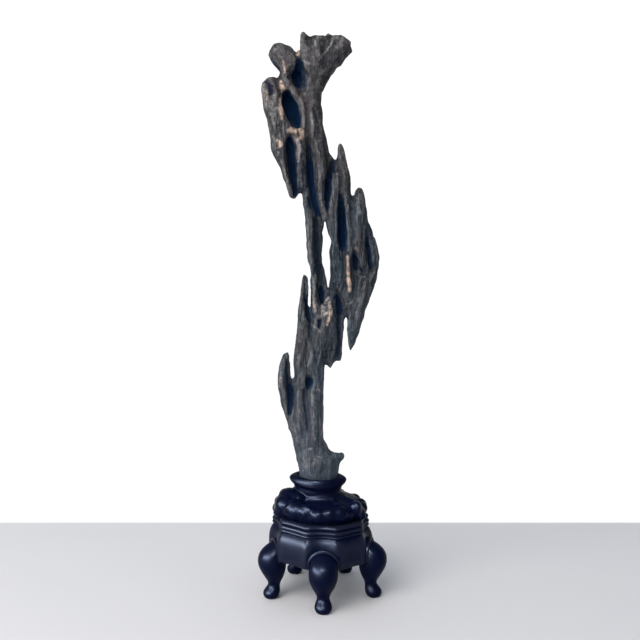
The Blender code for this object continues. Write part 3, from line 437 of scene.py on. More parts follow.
        "column edge": (0.22, [(0.5, 206, 0.9), (0.5, 185, 0.9), (-0.5, 166, 0.9)]),
        "column left": (0.19, [(-25.5, 214.5, 1.4), (-25.5, 195.5, 1.4), (-25.5, 176.5, 1.6)]),
        "column foot left": (0.19, [(-30.5, 179.5, 2), (-26.5, 163.5, 2.5)]),
        "foot vein": (0.43, [(-19.5, 152, 0.7), (-15, 154, 0.7), (-11, 154.5, 0.7)]),
        "foot streaks": (0.25, [(-20.5, 146.5, 1.2), (-19.5, 138, 1.2), (-20.5, 130.5, 1.2), (-14, 141, 1)]),
        "boss ring": (0.37, [(-11.5, 133.5, 0.8), (-11.5, 140, 0.8), (-10, 144, 0.8)]),
        "boss ring top": (0.46, [(-7, 146.5, 0.9), (-2.5, 145.5, 0.9)]),
        "boss ring right": (0.31, [(-0.5, 144.5, 0.8), (2.5, 139, 0.9)]),
        "wing edge": (0.37, [(1.5, 159.5, 0.8), (7, 154, 0.9), (13, 150, 0.9), (20.5, 150.5, 0.9)]),
        "column glow": (0.12, [(-10, 208, 5), (-10, 190, 5), (-9, 172, 5)]),
        "foot glow": (0.14, [(-20.5, 147.5, 5), (-18.5, 137, 6), (-10, 142.5, 5)]),
    },
    "swell": {
        "lobe side": (3.2, [(-51, 554.5, 4), (-47.5, 549, 4), (-43.5, 543, 3.5)]),
        "blade edge": (2.4, [(-57.5, 524.5, 4), (-57.5, 515, 4), (-55.5, 505, 3.5)]),
        "crown top": (2.8, [(-3, 571, 3), (1, 570.5, 3.2)]),
        "crown top right": (2.8, [(11.5, 571, 3.2), (16.5, 571, 3.6), (20.5, 570, 3.6), (25, 566.5, 3.4)]),
        "horn": (2.2, [(-19.5, 574, 3), (-20, 569, 3), (-20, 562.5, 3)]),
        "trough tip": (0.9, [(-36, 428.5, 2.5), (-32, 416.5, 2.5)]),
        "rib edge": (-0.7, [(50.5, 376.5, 3), (54.5, 361, 3), (54.5, 349, 3), (51.5, 325.5, 3)]),
        "finger left": (0.7, [(-22, 314, 2.5), (-23, 302, 2.5)]),
        "first spur": (0.9, [(17.5, 463.5, 3), (18.5, 455.5, 3)]),
        "low finger": (0.8, [(-39.5, 252, 2.5), (-36.5, 241.5, 2.5)]),
        "wing side": (0.6, [(-0.5, 200.5, 2.5), (-0.5, 179.5, 2.5)]),
        "crown neck": (1.4, [(13.5, 544, 4), (6.5, 533.5, 4), (0.5, 522.5, 4)]),
        "slit side": (0.8, [(19.5, 287.5, 2.2), (19, 273, 2.2)]),
        "slit side right": (0.8, [(28, 287.5, 2.2), (29.5, 271, 2.2)]),
        "low finger tip": (2.2, [(-38, 251.5, 3.6), (-38.5, 248, 3.6)]),
        "wing top": (2.2, [(12, 147, 3), (19.5, 147.5, 3.2)]),
    },
}


strokes = {
    "step": 0.7,  # mm between the points of a stroke
    "cut": (0.2, 1.3),  # full out to one share of its reach, nothing at the other
    "raised": (0.2, 1.5),
    "shallow": 0.5,  # mm, cuts up to this leave the wall thick enough anyway
    "start": 1.0,  # mm under the surface, where the wall is measured from
}


def strokeHits(tree, path):
    # points on the surface under a stroke
    found = []
    for (x0, z0, r0), (x1, z1, r1) in zip(path, path[1:]):
        count = max(1, round(math.hypot(x1 - x0, z1 - z0) / strokes["step"]))
        for k in range(count + 1):
            t = k / count
            aim = Vector((x0 + (x1 - x0) * t, 0, z0 + (z1 - z0) * t)) * mm - eye
            place = tree.ray_cast(eye, aim.normalized())[0]
            if place:
                found.append((place, (r0 + (r1 - r0) * t) * mm))
    return found


def strokeField(obj, drawn, reach):
    # strength of the drawn strokes at each point of the mesh
    full, fade = reach
    mesh = obj.data
    tree = BVHTree.FromObject(obj, bpy.context.evaluated_depsgraph_get())
    near = KDTree(len(mesh.vertices))
    for vert in mesh.vertices:
        near.insert(vert.co, vert.index)
    near.balance()
    field = np.zeros(len(mesh.vertices))
    for strength, path in drawn.values():
        weight = {}
        for place, radius in strokeHits(tree, path):
            for _, index, distance in near.find_range(place, radius * fade):
                t = min(1.0, max(0.0, (fade - distance / radius) / (fade - full)))
                weight[index] = max(weight.get(index, 0), t * t * (3 - 2 * t))
        for index, share in weight.items():
            if abs(strength * share) > abs(field[index]):
                field[index] = strength * share
    return field


def carve(obj, drawn, leastWall):
    # cuts go away from the camera and leave some thickness, raised strokes come towards it,
    # and swelling ones go outwards
    mesh = obj.data
    cut = strokeField(obj, drawn["cuts"], strokes["cut"])
    raised = strokeField(obj, drawn["raised"], strokes["raised"])
    swell = strokeField(obj, drawn["swell"], strokes["raised"])
    tree = BVHTree.FromObject(obj, bpy.context.evaluated_depsgraph_get())
    points, normals = readPoints(mesh), readNormals(mesh)
    for i in np.nonzero(cut + raised)[0]:
        place = Vector(points[i])
        away = (place - eye).normalized()
        depth = cut[i] * mm
        if depth > strokes["shallow"] * mm:
            far = tree.ray_cast(place + away * (strokes["start"] * mm), away)
            if far[0]:
                depth = min(depth, max(0.0, far[3] - leastWall * mm))
        points[i] += np.array(away) * (depth - raised[i] * mm)
    writePoints(mesh, points + normals * swell[:, None] * mm)


def slitCutter(outline):
    deselectAll()
    bpy.ops.mesh.primitive_circle_add(vertices=len(outline), radius=mm, fill_type="NGON",
                                      rotation=(math.pi / 2, 0, 0))
    cutter = bpy.context.object
    bpy.ops.object.transform_apply()
    for vert, (x, z) in zip(cutter.data.vertices, outline):
        vert.co = Vector((x, -rock["slitReach"], z)) * mm
    startEdit(cutter)
    extrude(0, 2 * rock["slitReach"], 0)
    endEdit()
    return cutter


def grainAt(x, y, z, size, shift=(0, 0), basis="PERLIN_ORIGINAL"):
    across, along = size
    return noise.noise(Vector((x / across + shift[0], y / across + shift[1], z / along)), noise_basis=basis)


def stoneRelief(points):
    # flutes that lean with the strands, crests and wrinkles between them, and facets
    lean = np.interp(points[:, 2], *zip(*rock["flow"]))
    relief = np.zeros(len(points))
    for i, (x, y, z) in enumerate(points):
        u = x - lean[i]
        flute = grainAt(u, y, z, rock["fluteSize"])
        crest = 0.35 - abs(grainAt(u, y, z, rock["crestSize"], shift=(9, 0)))
        wrinkle = 0.3 - abs(grainAt(u, y, z, rock["wrinkleSize"], shift=(0, 5)))
        facet = grainAt(x, y, z, rock["facetSize"], basis="VORONOI_F2F1") - 0.3
        crown = min(1.0, max(0.0, (z - rock["crownFrom"]) / rock["crownFade"]))
        relief[i] = (rock["flutes"] * (1 - 0.95 * crown) * (0.8 * flute + 1.3 * crest)
                     + rock["wrinkles"] * (1 - 0.5 * crown) * wrinkle
                     + rock["facets"] * (0.5 + 0.7 * crown) * facet)
    return relief


def makeStone():
    stone = copyNode("stone", "scholars_rock")
    for outline in rock["slits"].values():
        boolean(stone, slitCutter(outline), "DIFFERENCE")
    remesh(stone, rock["voxel"], rock["ease"])
    carve(stone, marks, rock["leastWall"])
    remesh(stone, rock["voxel"], rock["easeCarved"])
    mesh = stone.data
    points = readPoints(mesh) / mm
    fade = np.clip((points[:, 2] - rock["footTop"]) / rock["footFade"], 0, 1)
    out = stoneRelief(points) * fade + rock["puff"] * fade
    writePoints(mesh, (points + readNormals(mesh) * out[:, None]) * mm)
    smoothByAngle(stone, rock["smoothAngle"])
    mesh = stone.data
    addAttribute(mesh, "hollow", skyMask(stone, rock["skyReach"]))
    addAttribute(mesh, "edge", edgeMask(stone))
    for name in ("shade", "tan", "pale"):
        addAttribute(mesh, name, strokeField(stone, marks[name], rock["paint"]))
    mesh.materials.append(stoneMaterial())
    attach(stone, "root")
    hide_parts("stone")
    print("scene: stone", len(mesh.polygons), len(mesh.vertices))


# stand

stand = {
    "legTurns": {"leg_front": -88.8, "leg_front_right": -16.0, "leg_rear_right": 63.0, "leg_rear_left": 122.5,
                 "leg_front_left": 199.5},  # degrees, about the axis
    "axis": (-0.5, 3.07),
    "centre": (-1.7, 3.07),  # of the apron
    "radius": 56.0,
    "legFacet": 17.5,  # degrees, half the facet over a leg
    "hollows": (5.4, 3.8),  # of the facets over and between legs
    "tilt": 0.04,  # everything was carved a little lower on the right
    "skyReach": 20,
    "smoothAngle": 35,
    "sliver": 0.01,  # mm
}


apron = {
    "pointsPerFacet": 16,
    "soften": (-3.5, -2.2, -1, 0, 1, 2.2, 3.5),  # degrees that a corner is averaged over
    "profile": [(41.8, 30), (41.8, 3.2), (42.0, 1.9), (42.8, 0.9), (44.5, 0.45), (50, 0.25), (58, 0.3), (62, 0.7),
                (65, 1.4), (67.5, 2.4), (69.5, 3.5), (71.0, 4.7), (72.1, 5.6), (72.7, 5.0), (73.4, 4.3), (74.3, 4.0),
                (75.0, 4.3), (75.5, 5.2), (76.0, 5.3), (76.8, 4.4), (78.0, 4.0), (79.2, 4.5), (80.0, 5.8),
                (80.5, 6.4), (81.0, 6.3), (81.7, 5.3), (82.8, 4.8), (84.0, 5.2), (85.0, 6.4), (85.5, 8.4),
                (85.2, 11.5), (84.5, 14.5), (84.5, 17.5), (90, 18)],  # z and how far inside the radius
    "kneeGap": 0.9,  # round each knee in its pocket
}


def facetHollow(degrees):
    # how far the ten-sided apron lies inside its circle here
    turns = sorted(turn % 360 for turn in stand["legTurns"].values())
    here = degrees % 360
    after = next((turn for turn in turns if turn > here), turns[0] + 360)
    before = next((turn for turn in reversed(turns) if turn <= here), turns[-1] - 360)
    fromLeg = min(here - before, after - here)
    if fromLeg < stand["legFacet"]:
        return stand["hollows"][0] * (1 - (fromLeg / stand["legFacet"]) ** 2)
    half = (after - before) / 2 - stand["legFacet"]
    return stand["hollows"][1] * (1 - (((after + before) / 2 - here) / half) ** 2)


def growRings(obj, centre, rings):
    # extrudes the open ring of a circle through the rings (z, radius)
    fillRing(obj)
    for (z, size), (nextZ, nextSize) in zip(rings, rings[1:]):
        extrude(0, 0, nextZ - z)
        grow = nextSize / size
        bpy.ops.transform.resize(value=(grow, grow, 1), center_override=(centre[0] * mm, centre[1] * mm, nextZ * mm))
    endEdit()


def makeApron():
    deselectAll()
    turns = []
    legs = sorted(turn % 360 for turn in stand["legTurns"].values())
    for here, after in zip(legs, legs[1:] + [legs[0] + 360]):
        corners = (here - stand["legFacet"], here + stand["legFacet"], after - stand["legFacet"])
        for low, high in zip(corners, corners[1:]):
            turns += [low + (high - low) * k / apron["pointsPerFacet"] for k in range(apron["pointsPerFacet"])]
    centre = stand["centre"]
    firstZ, firstInset = apron["profile"][0]
    bpy.ops.mesh.primitive_circle_add(vertices=len(turns), radius=stand["radius"] * mm,
                                      location=(centre[0] * mm, centre[1] * mm, firstZ * mm))
    made = bpy.context.object
    bpy.ops.object.transform_apply()
    share = (stand["radius"] - firstInset) / stand["radius"]
    for vert, degrees in zip(made.data.vertices, turns):
        hollow = sum(facetHollow(degrees + step) for step in apron["soften"]) / len(apron["soften"])
        radius = (stand["radius"] - hollow) * share
        vert.co.x = (centre[0] + radius * math.cos(math.radians(degrees))) * mm
        vert.co.y = (centre[1] + radius * math.sin(math.radians(degrees))) * mm
    growRings(made, centre, [(z, stand["radius"] - inset) for z, inset in apron["profile"]])
    for vert in made.data.vertices:
        vert.co.z -= stand["tilt"] * (vert.co.x - centre[0] * mm)
    return made


leg = {
    "sides": 20,
    "profile": [(0.0, 56.3, 5.4, 5.6), (0.35, 56.3, 6.3, 6.5), (1.4, 56.4, 7.6, 7.8), (4.8, 56.3, 9.1, 9.3),
                (8.6, 55.2, 8.4, 8.6), (12.2, 53.4, 6.5, 6.7), (16.0, 52.7, 6.1, 6.2), (22.0, 52.9, 9.8, 10.0),
                (29.0, 54.0, 13.3, 13.5), (36.0, 55.1, 15.0, 15.2), (42.0, 55.5, 14.8, 15.2),
                (47.5, 55.0, 13.8, 14.5), (52.0, 53.2, 12.0, 13.0), (56.0, 50.8, 8.8, 10.2),
                (59.0, 49.6, 5.6, 6.6), (60.2, 49.2, 2.2, 2.6)],  # z, out, half depth, half width
    "levels": 2,
    "smoothAngle": 40,
}


def legBlank(name, grow):
    # one leg along +X, knee up
    z, out, depth, width = leg["profile"][0]
    deselectAll()
    bpy.ops.mesh.primitive_circle_add(vertices=leg["sides"], radius=mm, location=(0, 0, 0))
    made = bpy.context.object
    made.name = made.data.name = name
    fillRing(made)
    bpy.ops.transform.resize(value=(depth + grow, width + grow, 1), center_override=(0, 0, 0))
    bpy.ops.transform.translate(value=(out * mm, 0, z * mm))
    for nextZ, nextOut, nextDepth, nextWidth in leg["profile"][1:]:
        top = nextZ + (grow if nextZ == leg["profile"][-1][0] else 0)
        extrude(nextOut - out, 0, top - z)
        bpy.ops.transform.resize(value=((nextDepth + grow) / (depth + grow), (nextWidth + grow) / (width + grow), 1),
                                 center_override=(nextOut * mm, 0, top * mm))
        z, out, depth, width = nextZ, nextOut, nextDepth, nextWidth
    endEdit()
    return made


def turnToLeg(obj, degrees):
    pick(obj)
    obj.rotation_euler = (0, 0, math.radians(degrees))
    obj.location = (stand["axis"][0] * mm, stand["axis"][1] * mm, 0)
    bpy.ops.object.transform_apply()


arch = {
    "half": 16.0,
    "base": 42.0,  # z
    "spring": 48.0,
    "crown": 63.0,
    "steps": 24,
    "inner": 43,  # out from the axis, inside the apron
    "rounds": [(52.2, 1.0), (53.0, 0.99), (53.5, 0.965), (53.75, 0.93), (53.8, 0.9)],  # out, and size there
}


def archBlank():
    # round-headed slab over a knee, its front edge eased, along +X
    deselectAll()
    outline = [(-arch["half"], arch["base"])]
    for k in range(arch["steps"] + 1):
        turn = math.pi * (1 - k / arch["steps"])
        outline.append((arch["half"] * math.cos(turn),
                        arch["spring"] + (arch["crown"] - arch["spring"]) * math.sin(turn)))
    outline.append((arch["half"], arch["base"]))
    bpy.ops.mesh.primitive_circle_add(vertices=len(outline), radius=mm)
    made = bpy.context.object
    for vert, (y, z) in zip(made.data.vertices, outline):
        vert.co = Vector((arch["inner"], y, z)) * mm
    fillRing(made)
    x = arch["inner"]
    for nextX, size in arch["rounds"]:
        extrude(nextX - x, 0, 0)
        if size < 1:
            bpy.ops.transform.resize(value=(1, size, size), center_override=(nextX * mm, 0, arch["base"] * mm))
        x = nextX
    endEdit()
    return made


def dissolveSlivers(obj):
    # the cuts leave a few faces with no area
    startEdit(obj)
    bpy.ops.mesh.remove_doubles(threshold=stand["sliver"] * mm)
    bpy.ops.mesh.quads_convert_to_tris()
    bpy.ops.mesh.dissolve_degenerate(threshold=stand["sliver"] * mm)
    bpy.ops.object.mode_set(mode="OBJECT")


dome = {
    "sides": 96,
    "profile": [(82, 38.5), (86, 42), (91, 44), (95, 43), (99, 38.5), (102, 32), (104.5, 26.6), (107.5, 22.4),
                (110.5, 20.6), (112.7, 21.3), (114.6, 22.9), (116.2, 23.0), (117.5, 22)],  # z, radius
    "voxel": 0.72,
    "ease": 55,  # melts the knobs together
    "easeCarved": 20,
    "easeJoined": 6,
    "leastWall": 1.0,
    "ridges": {  # tapering drapes: (x, y, z, half width, half depth)
        "right": [(25, -8, 103, 3, 3), (35, -17, 99, 4, 4), (42, -18, 92, 4.5, 4.5), (42, -19, 84, 4, 4)],
        "left": [(-28, -6, 109, 4, 4), (-39, -9, 107, 5.5, 5.5), (-46, -9, 98, 5, 5), (-46, -7, 87, 4, 4)],
        "back_left": [(-20, 22, 108, 3, 3), (-27, 31, 102, 4.5, 5), (-33, 32, 94, 5, 5), (-36, 29, 86, 4, 4)],
        "back_right": [(15, 22, 100, 3, 3), (23, 30, 93, 4.5, 4), (29, 34, 88, 5, 5), (31, 34, 83, 4, 4)],
        "back": [(-3, 28, 105, 3, 3), (-4, 37, 100, 5, 5), (-2, 43, 92, 5, 5), (1, 44, 84, 4, 4)],
    },
    "knobDepth": 0.8,  # share of a knob's half width
    "knobFaces": (24, 16),  # round and up
    "knobs": [  # degrees round the dome, z, out from its centre, half width, half height
        (-34, 97, 43, 8.5, 8.5), (-62, 95, 40, 10.5, 8.5), (-78, 95.5, 40.6, 8.5, 8.0),
        (-94, 94.5, 41.2, 8.0, 7.5), (-134, 96.5, 38.5, 13.0, 10.5), (-112, 97, 39, 9.0, 8.5),
        (-155, 99, 42, 12.0, 10.0), (-160, 91, 45, 9.0, 7.5), (-178, 90.5, 44.5, 9.0, 6.5),
        (-174, 99.5, 42.5, 9.0, 4.5), (-170, 104.5, 33, 14.0, 8.5), (-148, 103.5, 27, 10.0, 7.5),
        (170, 90, 44, 8.0, 6.0), (160, 99, 41, 8.5, 8.0), (146, 91, 44, 8.0, 7.0), (120, 92, 44, 8.5, 7.0),
        (108, 98, 41, 7.5, 7.5), (100, 90, 45, 7.0, 6.0), (72, 92, 44, 8.5, 7.5), (60, 94, 41, 7.5, 6.5),
        (40, 89, 45, 8.0, 5.5), (30, 93, 42, 8.0, 6.0), (14, 90, 44, 8.5, 6.5), (2, 94, 42, 7.5, 6.0),
        (-10, 92, 44, 7.5, 6.5), (-26, 90, 43, 6.5, 6.0),
    ],
    "marks": {  # strokes, as on the stone
        "cuts": {
            "recess": (2.0, [(-18.5, 97.5, 4), (-11, 97.5, 4.4), (-0.5, 98, 4.4), (9, 98, 4)]),
            "left crease": (1.2, [(-40.5, 102.5, 2), (-43.5, 94, 2), (-41.5, 84, 1.8)]),
            "beside the tear": (1.4, [(-19.5, 89.5, 2.8), (-15, 81, 2.8)]),
            "right fold": (1.4, [(31, 90.5, 2.4), (34, 85, 2.6), (35.5, 78.5, 2)]),
        },
        "raised": {
            "left drape": (2.0, [(-24.5, 103.5, 1.8), (-31, 99.5, 2), (-36, 94, 2), (-39.5, 87.5, 2),
                (-39.5, 81, 1.8)]),
            "right drape": (2.4, [(13, 97, 2.2), (20.5, 95.5, 2.6), (27, 91.5, 2.6), (29, 85, 2.4), (30, 77.5, 2)]),
            "outer drape": (1.8, [(24.5, 103.5, 2.4), (33, 100.5, 2.4), (38.5, 94, 2.6), (39.5, 85, 2.4),
                (37.5, 76.5, 2)]),
        },
        "swell": {
            "left brow": (0.6, [(-41.5, 108, 4), (-37, 109, 4)]),
        },
    },
}


def ridgeCurve(stations):
    curve = bpy.data.curves.new("ridge", "CURVE")
    curve.dimensions = "3D"
    curve.bevel_depth = mm
    curve.bevel_resolution = 4
    curve.resolution_u = 8
    curve.use_fill_caps = True
    line = curve.splines.new("NURBS")
    line.points.add(len(stations) - 1)
    line.order_u = 3
    line.use_endpoint_u = True
    for point, (x, y, z, width, depth) in zip(line.points, stations):
        point.co = ((x + stand["axis"][0]) * mm, (y + stand["axis"][1]) * mm, z * mm, 1)
        point.radius = (width + depth) / 2
    obj = bpy.data.objects.new("ridge", curve)
    scene.collection.objects.link(obj)
    pick(obj)
    bpy.ops.object.convert(target="MESH")
    return bpy.context.object


def makeKnob(degrees, z, out, size, height):
    turn = math.radians(degrees)
    centre = stand["centre"]
    place = ((centre[0] + out * math.cos(turn)) * mm, (centre[1] + out * math.sin(turn)) * mm, z * mm)
    deselectAll()
    around, rings = dome["knobFaces"]
    bpy.ops.mesh.primitive_uv_sphere_add(segments=around, ring_count=rings, radius=mm, location=place,
                                         rotation=(0, 0, turn), scale=(size * dome["knobDepth"], size, height))
    knob = bpy.context.object
    bpy.ops.object.transform_apply()
    return knob


def makeRockwork():
    deselectAll()
    z, radius = dome["profile"][0]
    centre = stand["centre"]
    bpy.ops.mesh.primitive_circle_add(vertices=dome["sides"], radius=radius * mm,
                                      location=(centre[0] * mm, centre[1] * mm, z * mm))
    core = bpy.context.object
    bpy.ops.object.transform_apply()
    growRings(core, centre, dome["profile"])
    knobs = [makeKnob(*knob) for knob in dome["knobs"]]
    ridges = [ridgeCurve(stations) for stations in dome["ridges"].values()]
    rockwork = joinPieces([core] + knobs + ridges, "rockwork")
    remesh(rockwork, dome["voxel"], dome["ease"])
    carve(rockwork, dome["marks"], dome["leastWall"])
    applyModifier(rockwork, "SMOOTH", "Settle", factor=0.5, iterations=dome["easeCarved"])
    rockwork = joinPieces([rockwork, makeCollar()], "rockwork")
    remesh(rockwork, dome["voxel"], dome["easeJoined"])
    return rockwork


collar = {
    "centre": (-4.7, 2.07),
    "half": (26.9, 23.6),
    "tip": 0.12,  # the brim draws out to a tip at each side
    "tipThick": 0.9,  # and is thickest there
    "lift": (104, 14),  # z where the collar starts to lean, and over how much height
    "brimFront": 118.0,  # z of the brim's edge at the front, and how much higher it is round the sides
    "brimRise": 4.3,
    "brimCurve": 1.4,
    "top": 126.2,
    "mouth": (0.75, 0.865),  # share of the half sizes at the top, on the sides and at the front
    # share, then z as a fixed height, or from the brim's edge, or as a share of the way from there to the top
    "neck": [(0.82, 104), (0.85, 110)],
    "under": [(0.862, -6.2), (0.852, -4.2), (0.875, -2.9), (0.935, -1.9), (0.98, -0.9), (1.0, 0.2), (0.985, 1.2)],
    "over": [(0.93, 0.3), (0.75, 0.6), (0.5, 0.84), (0.2, 0.97), (0.0, 1.0)],  # share from the mouth to the edge
    "socket": [(0.97, 125.6), (0.94, 124), (0.93, 121), (0.92, 116.6)],  # share of the mouth
}


def collarPoint(kind, share, level, turn):
    # where a ring of the collar runs at a turn about its centre
    across, along = math.cos(turn), math.sin(turn)
    mouth = collar["mouth"][1] + (collar["mouth"][0] - collar["mouth"][1]) * across ** 2
    if kind == "between":
        share = mouth + (1 - mouth) * share
    elif kind == "inside":
        share *= mouth
    if kind == "edge" and level < 0:
        level *= 1 + collar["tipThick"] * across ** 4
    edge = collar["brimFront"] + collar["brimRise"] * (1 - max(0.0, -along) ** collar["brimCurve"])
    z = {"at": level, "inside": level, "edge": edge + level, "between": edge + (collar["top"] - edge) * level}[kind]
    lift = min(1.0, max(0.0, (z - collar["lift"][0]) / collar["lift"][1]))
    reach = 1 + collar["tip"] * lift * across ** 4
    x = collar["half"][0] * share * reach * across
    y = collar["half"][1] * share * along
    return Vector((collar["centre"][0] + x, collar["centre"][1] + y, z - stand["tilt"] * lift * x)) * mm


def makeCollar():
    deselectAll()
    rings = [(kind, *ring) for kind, part in (("at", "neck"), ("edge", "under"), ("between", "over"),
                                              ("inside", "socket")) for ring in collar[part]]
    bpy.ops.mesh.primitive_circle_add(vertices=dome["sides"], radius=mm)
    made = bpy.context.object
    fillRing(made)
    for _ in rings[1:]:
        extrude(0, 0, 1)
    bpy.ops.object.mode_set(mode="OBJECT")
    for vert in made.data.vertices:
        vert.co = collarPoint(*rings[round(vert.co.z / mm)], math.atan2(vert.co.y, vert.co.x))
    startEdit(made)
    endEdit()
    return made


def makeStand():
    body = makeApron()
    for degrees in stand["legTurns"].values():
        slab = archBlank()
        turnToLeg(slab, degrees)
        boolean(body, slab, "UNION")
    for degrees in stand["legTurns"].values():
        cutter = legBlank("cutter", apron["kneeGap"])
        turnToLeg(cutter, degrees)
        boolean(body, cutter, "DIFFERENCE")
    dissolveSlivers(body)
    print("scene: apron", len(body.data.polygons))
    body = joinPieces([body, makeRockwork()], "carved_stand")
    body.data.materials.clear()
    smoothByAngle(body, stand["smoothAngle"])
    addAttribute(body.data, "hollow", skyMask(body, stand["skyReach"]))
    addAttribute(body.data, "edge", edgeMask(body))
    body.data.materials.append(woodMaterial())
    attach(body, "root")
    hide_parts("stand_body")
    print("scene: stand", len(body.data.polygons))


def makeLegs():
    first = legBlank("leg", 0)
    applyModifier(first, "SUBSURF", "Subdivision", levels=leg["levels"], render_levels=leg["levels"])
    smoothByAngle(first, leg["smoothAngle"])
    for node, degrees in stand["legTurns"].items():
        piece = first.copy()
        piece.data = first.data.copy()
        piece.name = piece.data.name = "bulb_" + node
        scene.collection.objects.link(piece)
        turnToLeg(piece, degrees)
        addAttribute(piece.data, "hollow", np.ones(len(piece.data.vertices)))
        addAttribute(piece.data, "edge", np.full(len(piece.data.vertices), 0.5))
        piece.data.materials.append(bpy.data.materials["lacquered wood"])
        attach(piece, "root")
        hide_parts(node)
    bpy.data.objects.remove(first, do_unlink=True)
    print("scene: legs")


# materials

def addNode(tree, kind, inputs=None, **settings):
    made = tree.nodes.new(kind)
    for key, value in settings.items():
        setattr(made, key, value)
    for socket, value in (inputs or {}).items():
        if isinstance(value, bpy.types.NodeSocket):
            tree.links.new(value, made.inputs[socket])
        else:
            made.inputs[socket].default_value = value
    return made


def newMaterial(name, settings):
    material = bpy.data.materials.new(name)
    material.use_nodes = True
    tree = material.node_tree
    tree.nodes.clear()
    shader = addNode(tree, "ShaderNodeBsdfPrincipled", settings)
    addNode(tree, "ShaderNodeOutputMaterial", {"Surface": shader.outputs["BSDF"]})
    return material, tree, shader


def newGroup(name, inputs, outputs):
    group = bpy.data.node_groups.new(name, "ShaderNodeTree")
    for socket, kind, value in inputs:
        made = group.interface.new_socket(socket, in_out="INPUT", socket_type="NodeSocket" + kind)
        made.default_value = value
    for socket, kind in outputs:
        group.interface.new_socket(socket, in_out="OUTPUT", socket_type="NodeSocket" + kind)
    return group, group.nodes.new("NodeGroupInput"), group.nodes.new("NodeGroupOutput")


def mixed(tree, kind, factor, a, b):
    # kind is Color or Float
    made = addNode(tree, "ShaderNodeMix", data_type="RGBA" if kind == "Color" else "FLOAT")
    sockets = {socket.identifier: socket for socket in made.inputs}
    for name, value in (("Factor_Float", factor), ("A_" + kind, a), ("B_" + kind, b)):
        if isinstance(value, bpy.types.NodeSocket):
            tree.links.new(value, sockets[name])
        else:
            sockets[name].default_value = (*value, 1) if isinstance(value, tuple) else value
    return next(socket for socket in made.outputs if socket.identifier == "Result_" + kind)


def colourMix(tree, factor, a, b):
    return mixed(tree, "Color", factor, a, b)


def mapRange(tree, value, low, high, toLow=0.0, toHigh=1.0):
    return addNode(tree, "ShaderNodeMapRange", {"Value": value, "From Min": low, "From Max": high, "To Min": toLow,
                                                "To Max": toHigh}).outputs["Result"]


def maths(tree, operation, *values):
    return addNode(tree, "ShaderNodeMath", dict(enumerate(values)), operation=operation).outputs[0]


def attribute(tree, name):
    return addNode(tree, "ShaderNodeAttribute", attribute_name=name).outputs["Fac"]


def objectPlace(tree):
    return addNode(tree, "ShaderNodeTexCoord").outputs["Object"]


drawnOut = {"upright": 0.2, "long": 0.09, "fibre": 0.15}  # share of its scale that a noise keeps in height


def noiseFrom(tree, place, look):
    # a noise from its settings: which way it is drawn out, scale, detail, roughness, distortion
    way, scale, detail, roughness, distortion = look
    if way in drawnOut:
        place = addNode(tree, "ShaderNodeMapping", {"Vector": place, "Scale": (1, 1, drawnOut[way])}).outputs["Vector"]
    return addNode(tree, "ShaderNodeTexNoise", {"Vector": place, "Scale": scale, "Detail": detail,
                                                "Roughness": roughness, "Distortion": distortion}).outputs["Fac"]


def thinLines(tree, pattern, level, width):
    # 1 along the lines where a pattern crosses a level
    off = maths(tree, "ABSOLUTE", maths(tree, "SUBTRACT", pattern, level))
    return mapRange(tree, off, 0, width, 1, 0)


def masked(tree, strength, pattern, depth):
    # a painted strength broken up by a pattern
    return maths(tree, "MULTIPLY", strength, mapRange(tree, pattern, 0.4, 0.56, 1 - depth, 1))


def bumpLayers(tree, shader, layers):
    # each layer: what it follows, strength, depth in m, whether it goes in
    over = {}
    for height, strength, depth, sunk in layers:
        made = addNode(tree, "ShaderNodeBump", {"Height": height, "Strength": strength, "Distance": depth, **over},
                       invert=sunk)
        over = {"Normal": made.outputs["Normal"]}
    tree.links.new(over["Normal"], shader.inputs["Normal"])


def makeHollowShade():
    # darkens a colour towards the shade where little sky reaches
    group, ins, outs = newGroup("hollow shade", [
        ("Colour", "Color", (0.5, 0.5, 0.5, 1)), ("Shade", "Color", (0, 0, 0, 1)), ("Sky", "Float", 1.0),
        ("Dark below", "Float", 0.2), ("Clear above", "Float", 0.7)], [("Colour", "Color")])
    given = ins.outputs
    clear = addNode(group, "ShaderNodeMapRange", {"Value": given["Sky"], "From Min": given["Dark below"],
                                                  "From Max": given["Clear above"]}, interpolation_type="SMOOTHSTEP")
    shaded = colourMix(group, clear.outputs["Result"], given["Shade"], given["Colour"])
    group.links.new(shaded, outs.inputs["Colour"])


def shadeHollows(tree, colour, look):
    # paints shade into the hollows, by how little sky each point sees
    low, high = look["hollowFrom"]
    return addNode(tree, "ShaderNodeGroup", {
        "Colour": colour, "Shade": (*look["hollow"], 1), "Sky": attribute(tree, "hollow"), "Dark below": low,
        "Clear above": high}, node_tree=bpy.data.node_groups["hollow shade"]).outputs["Colour"]


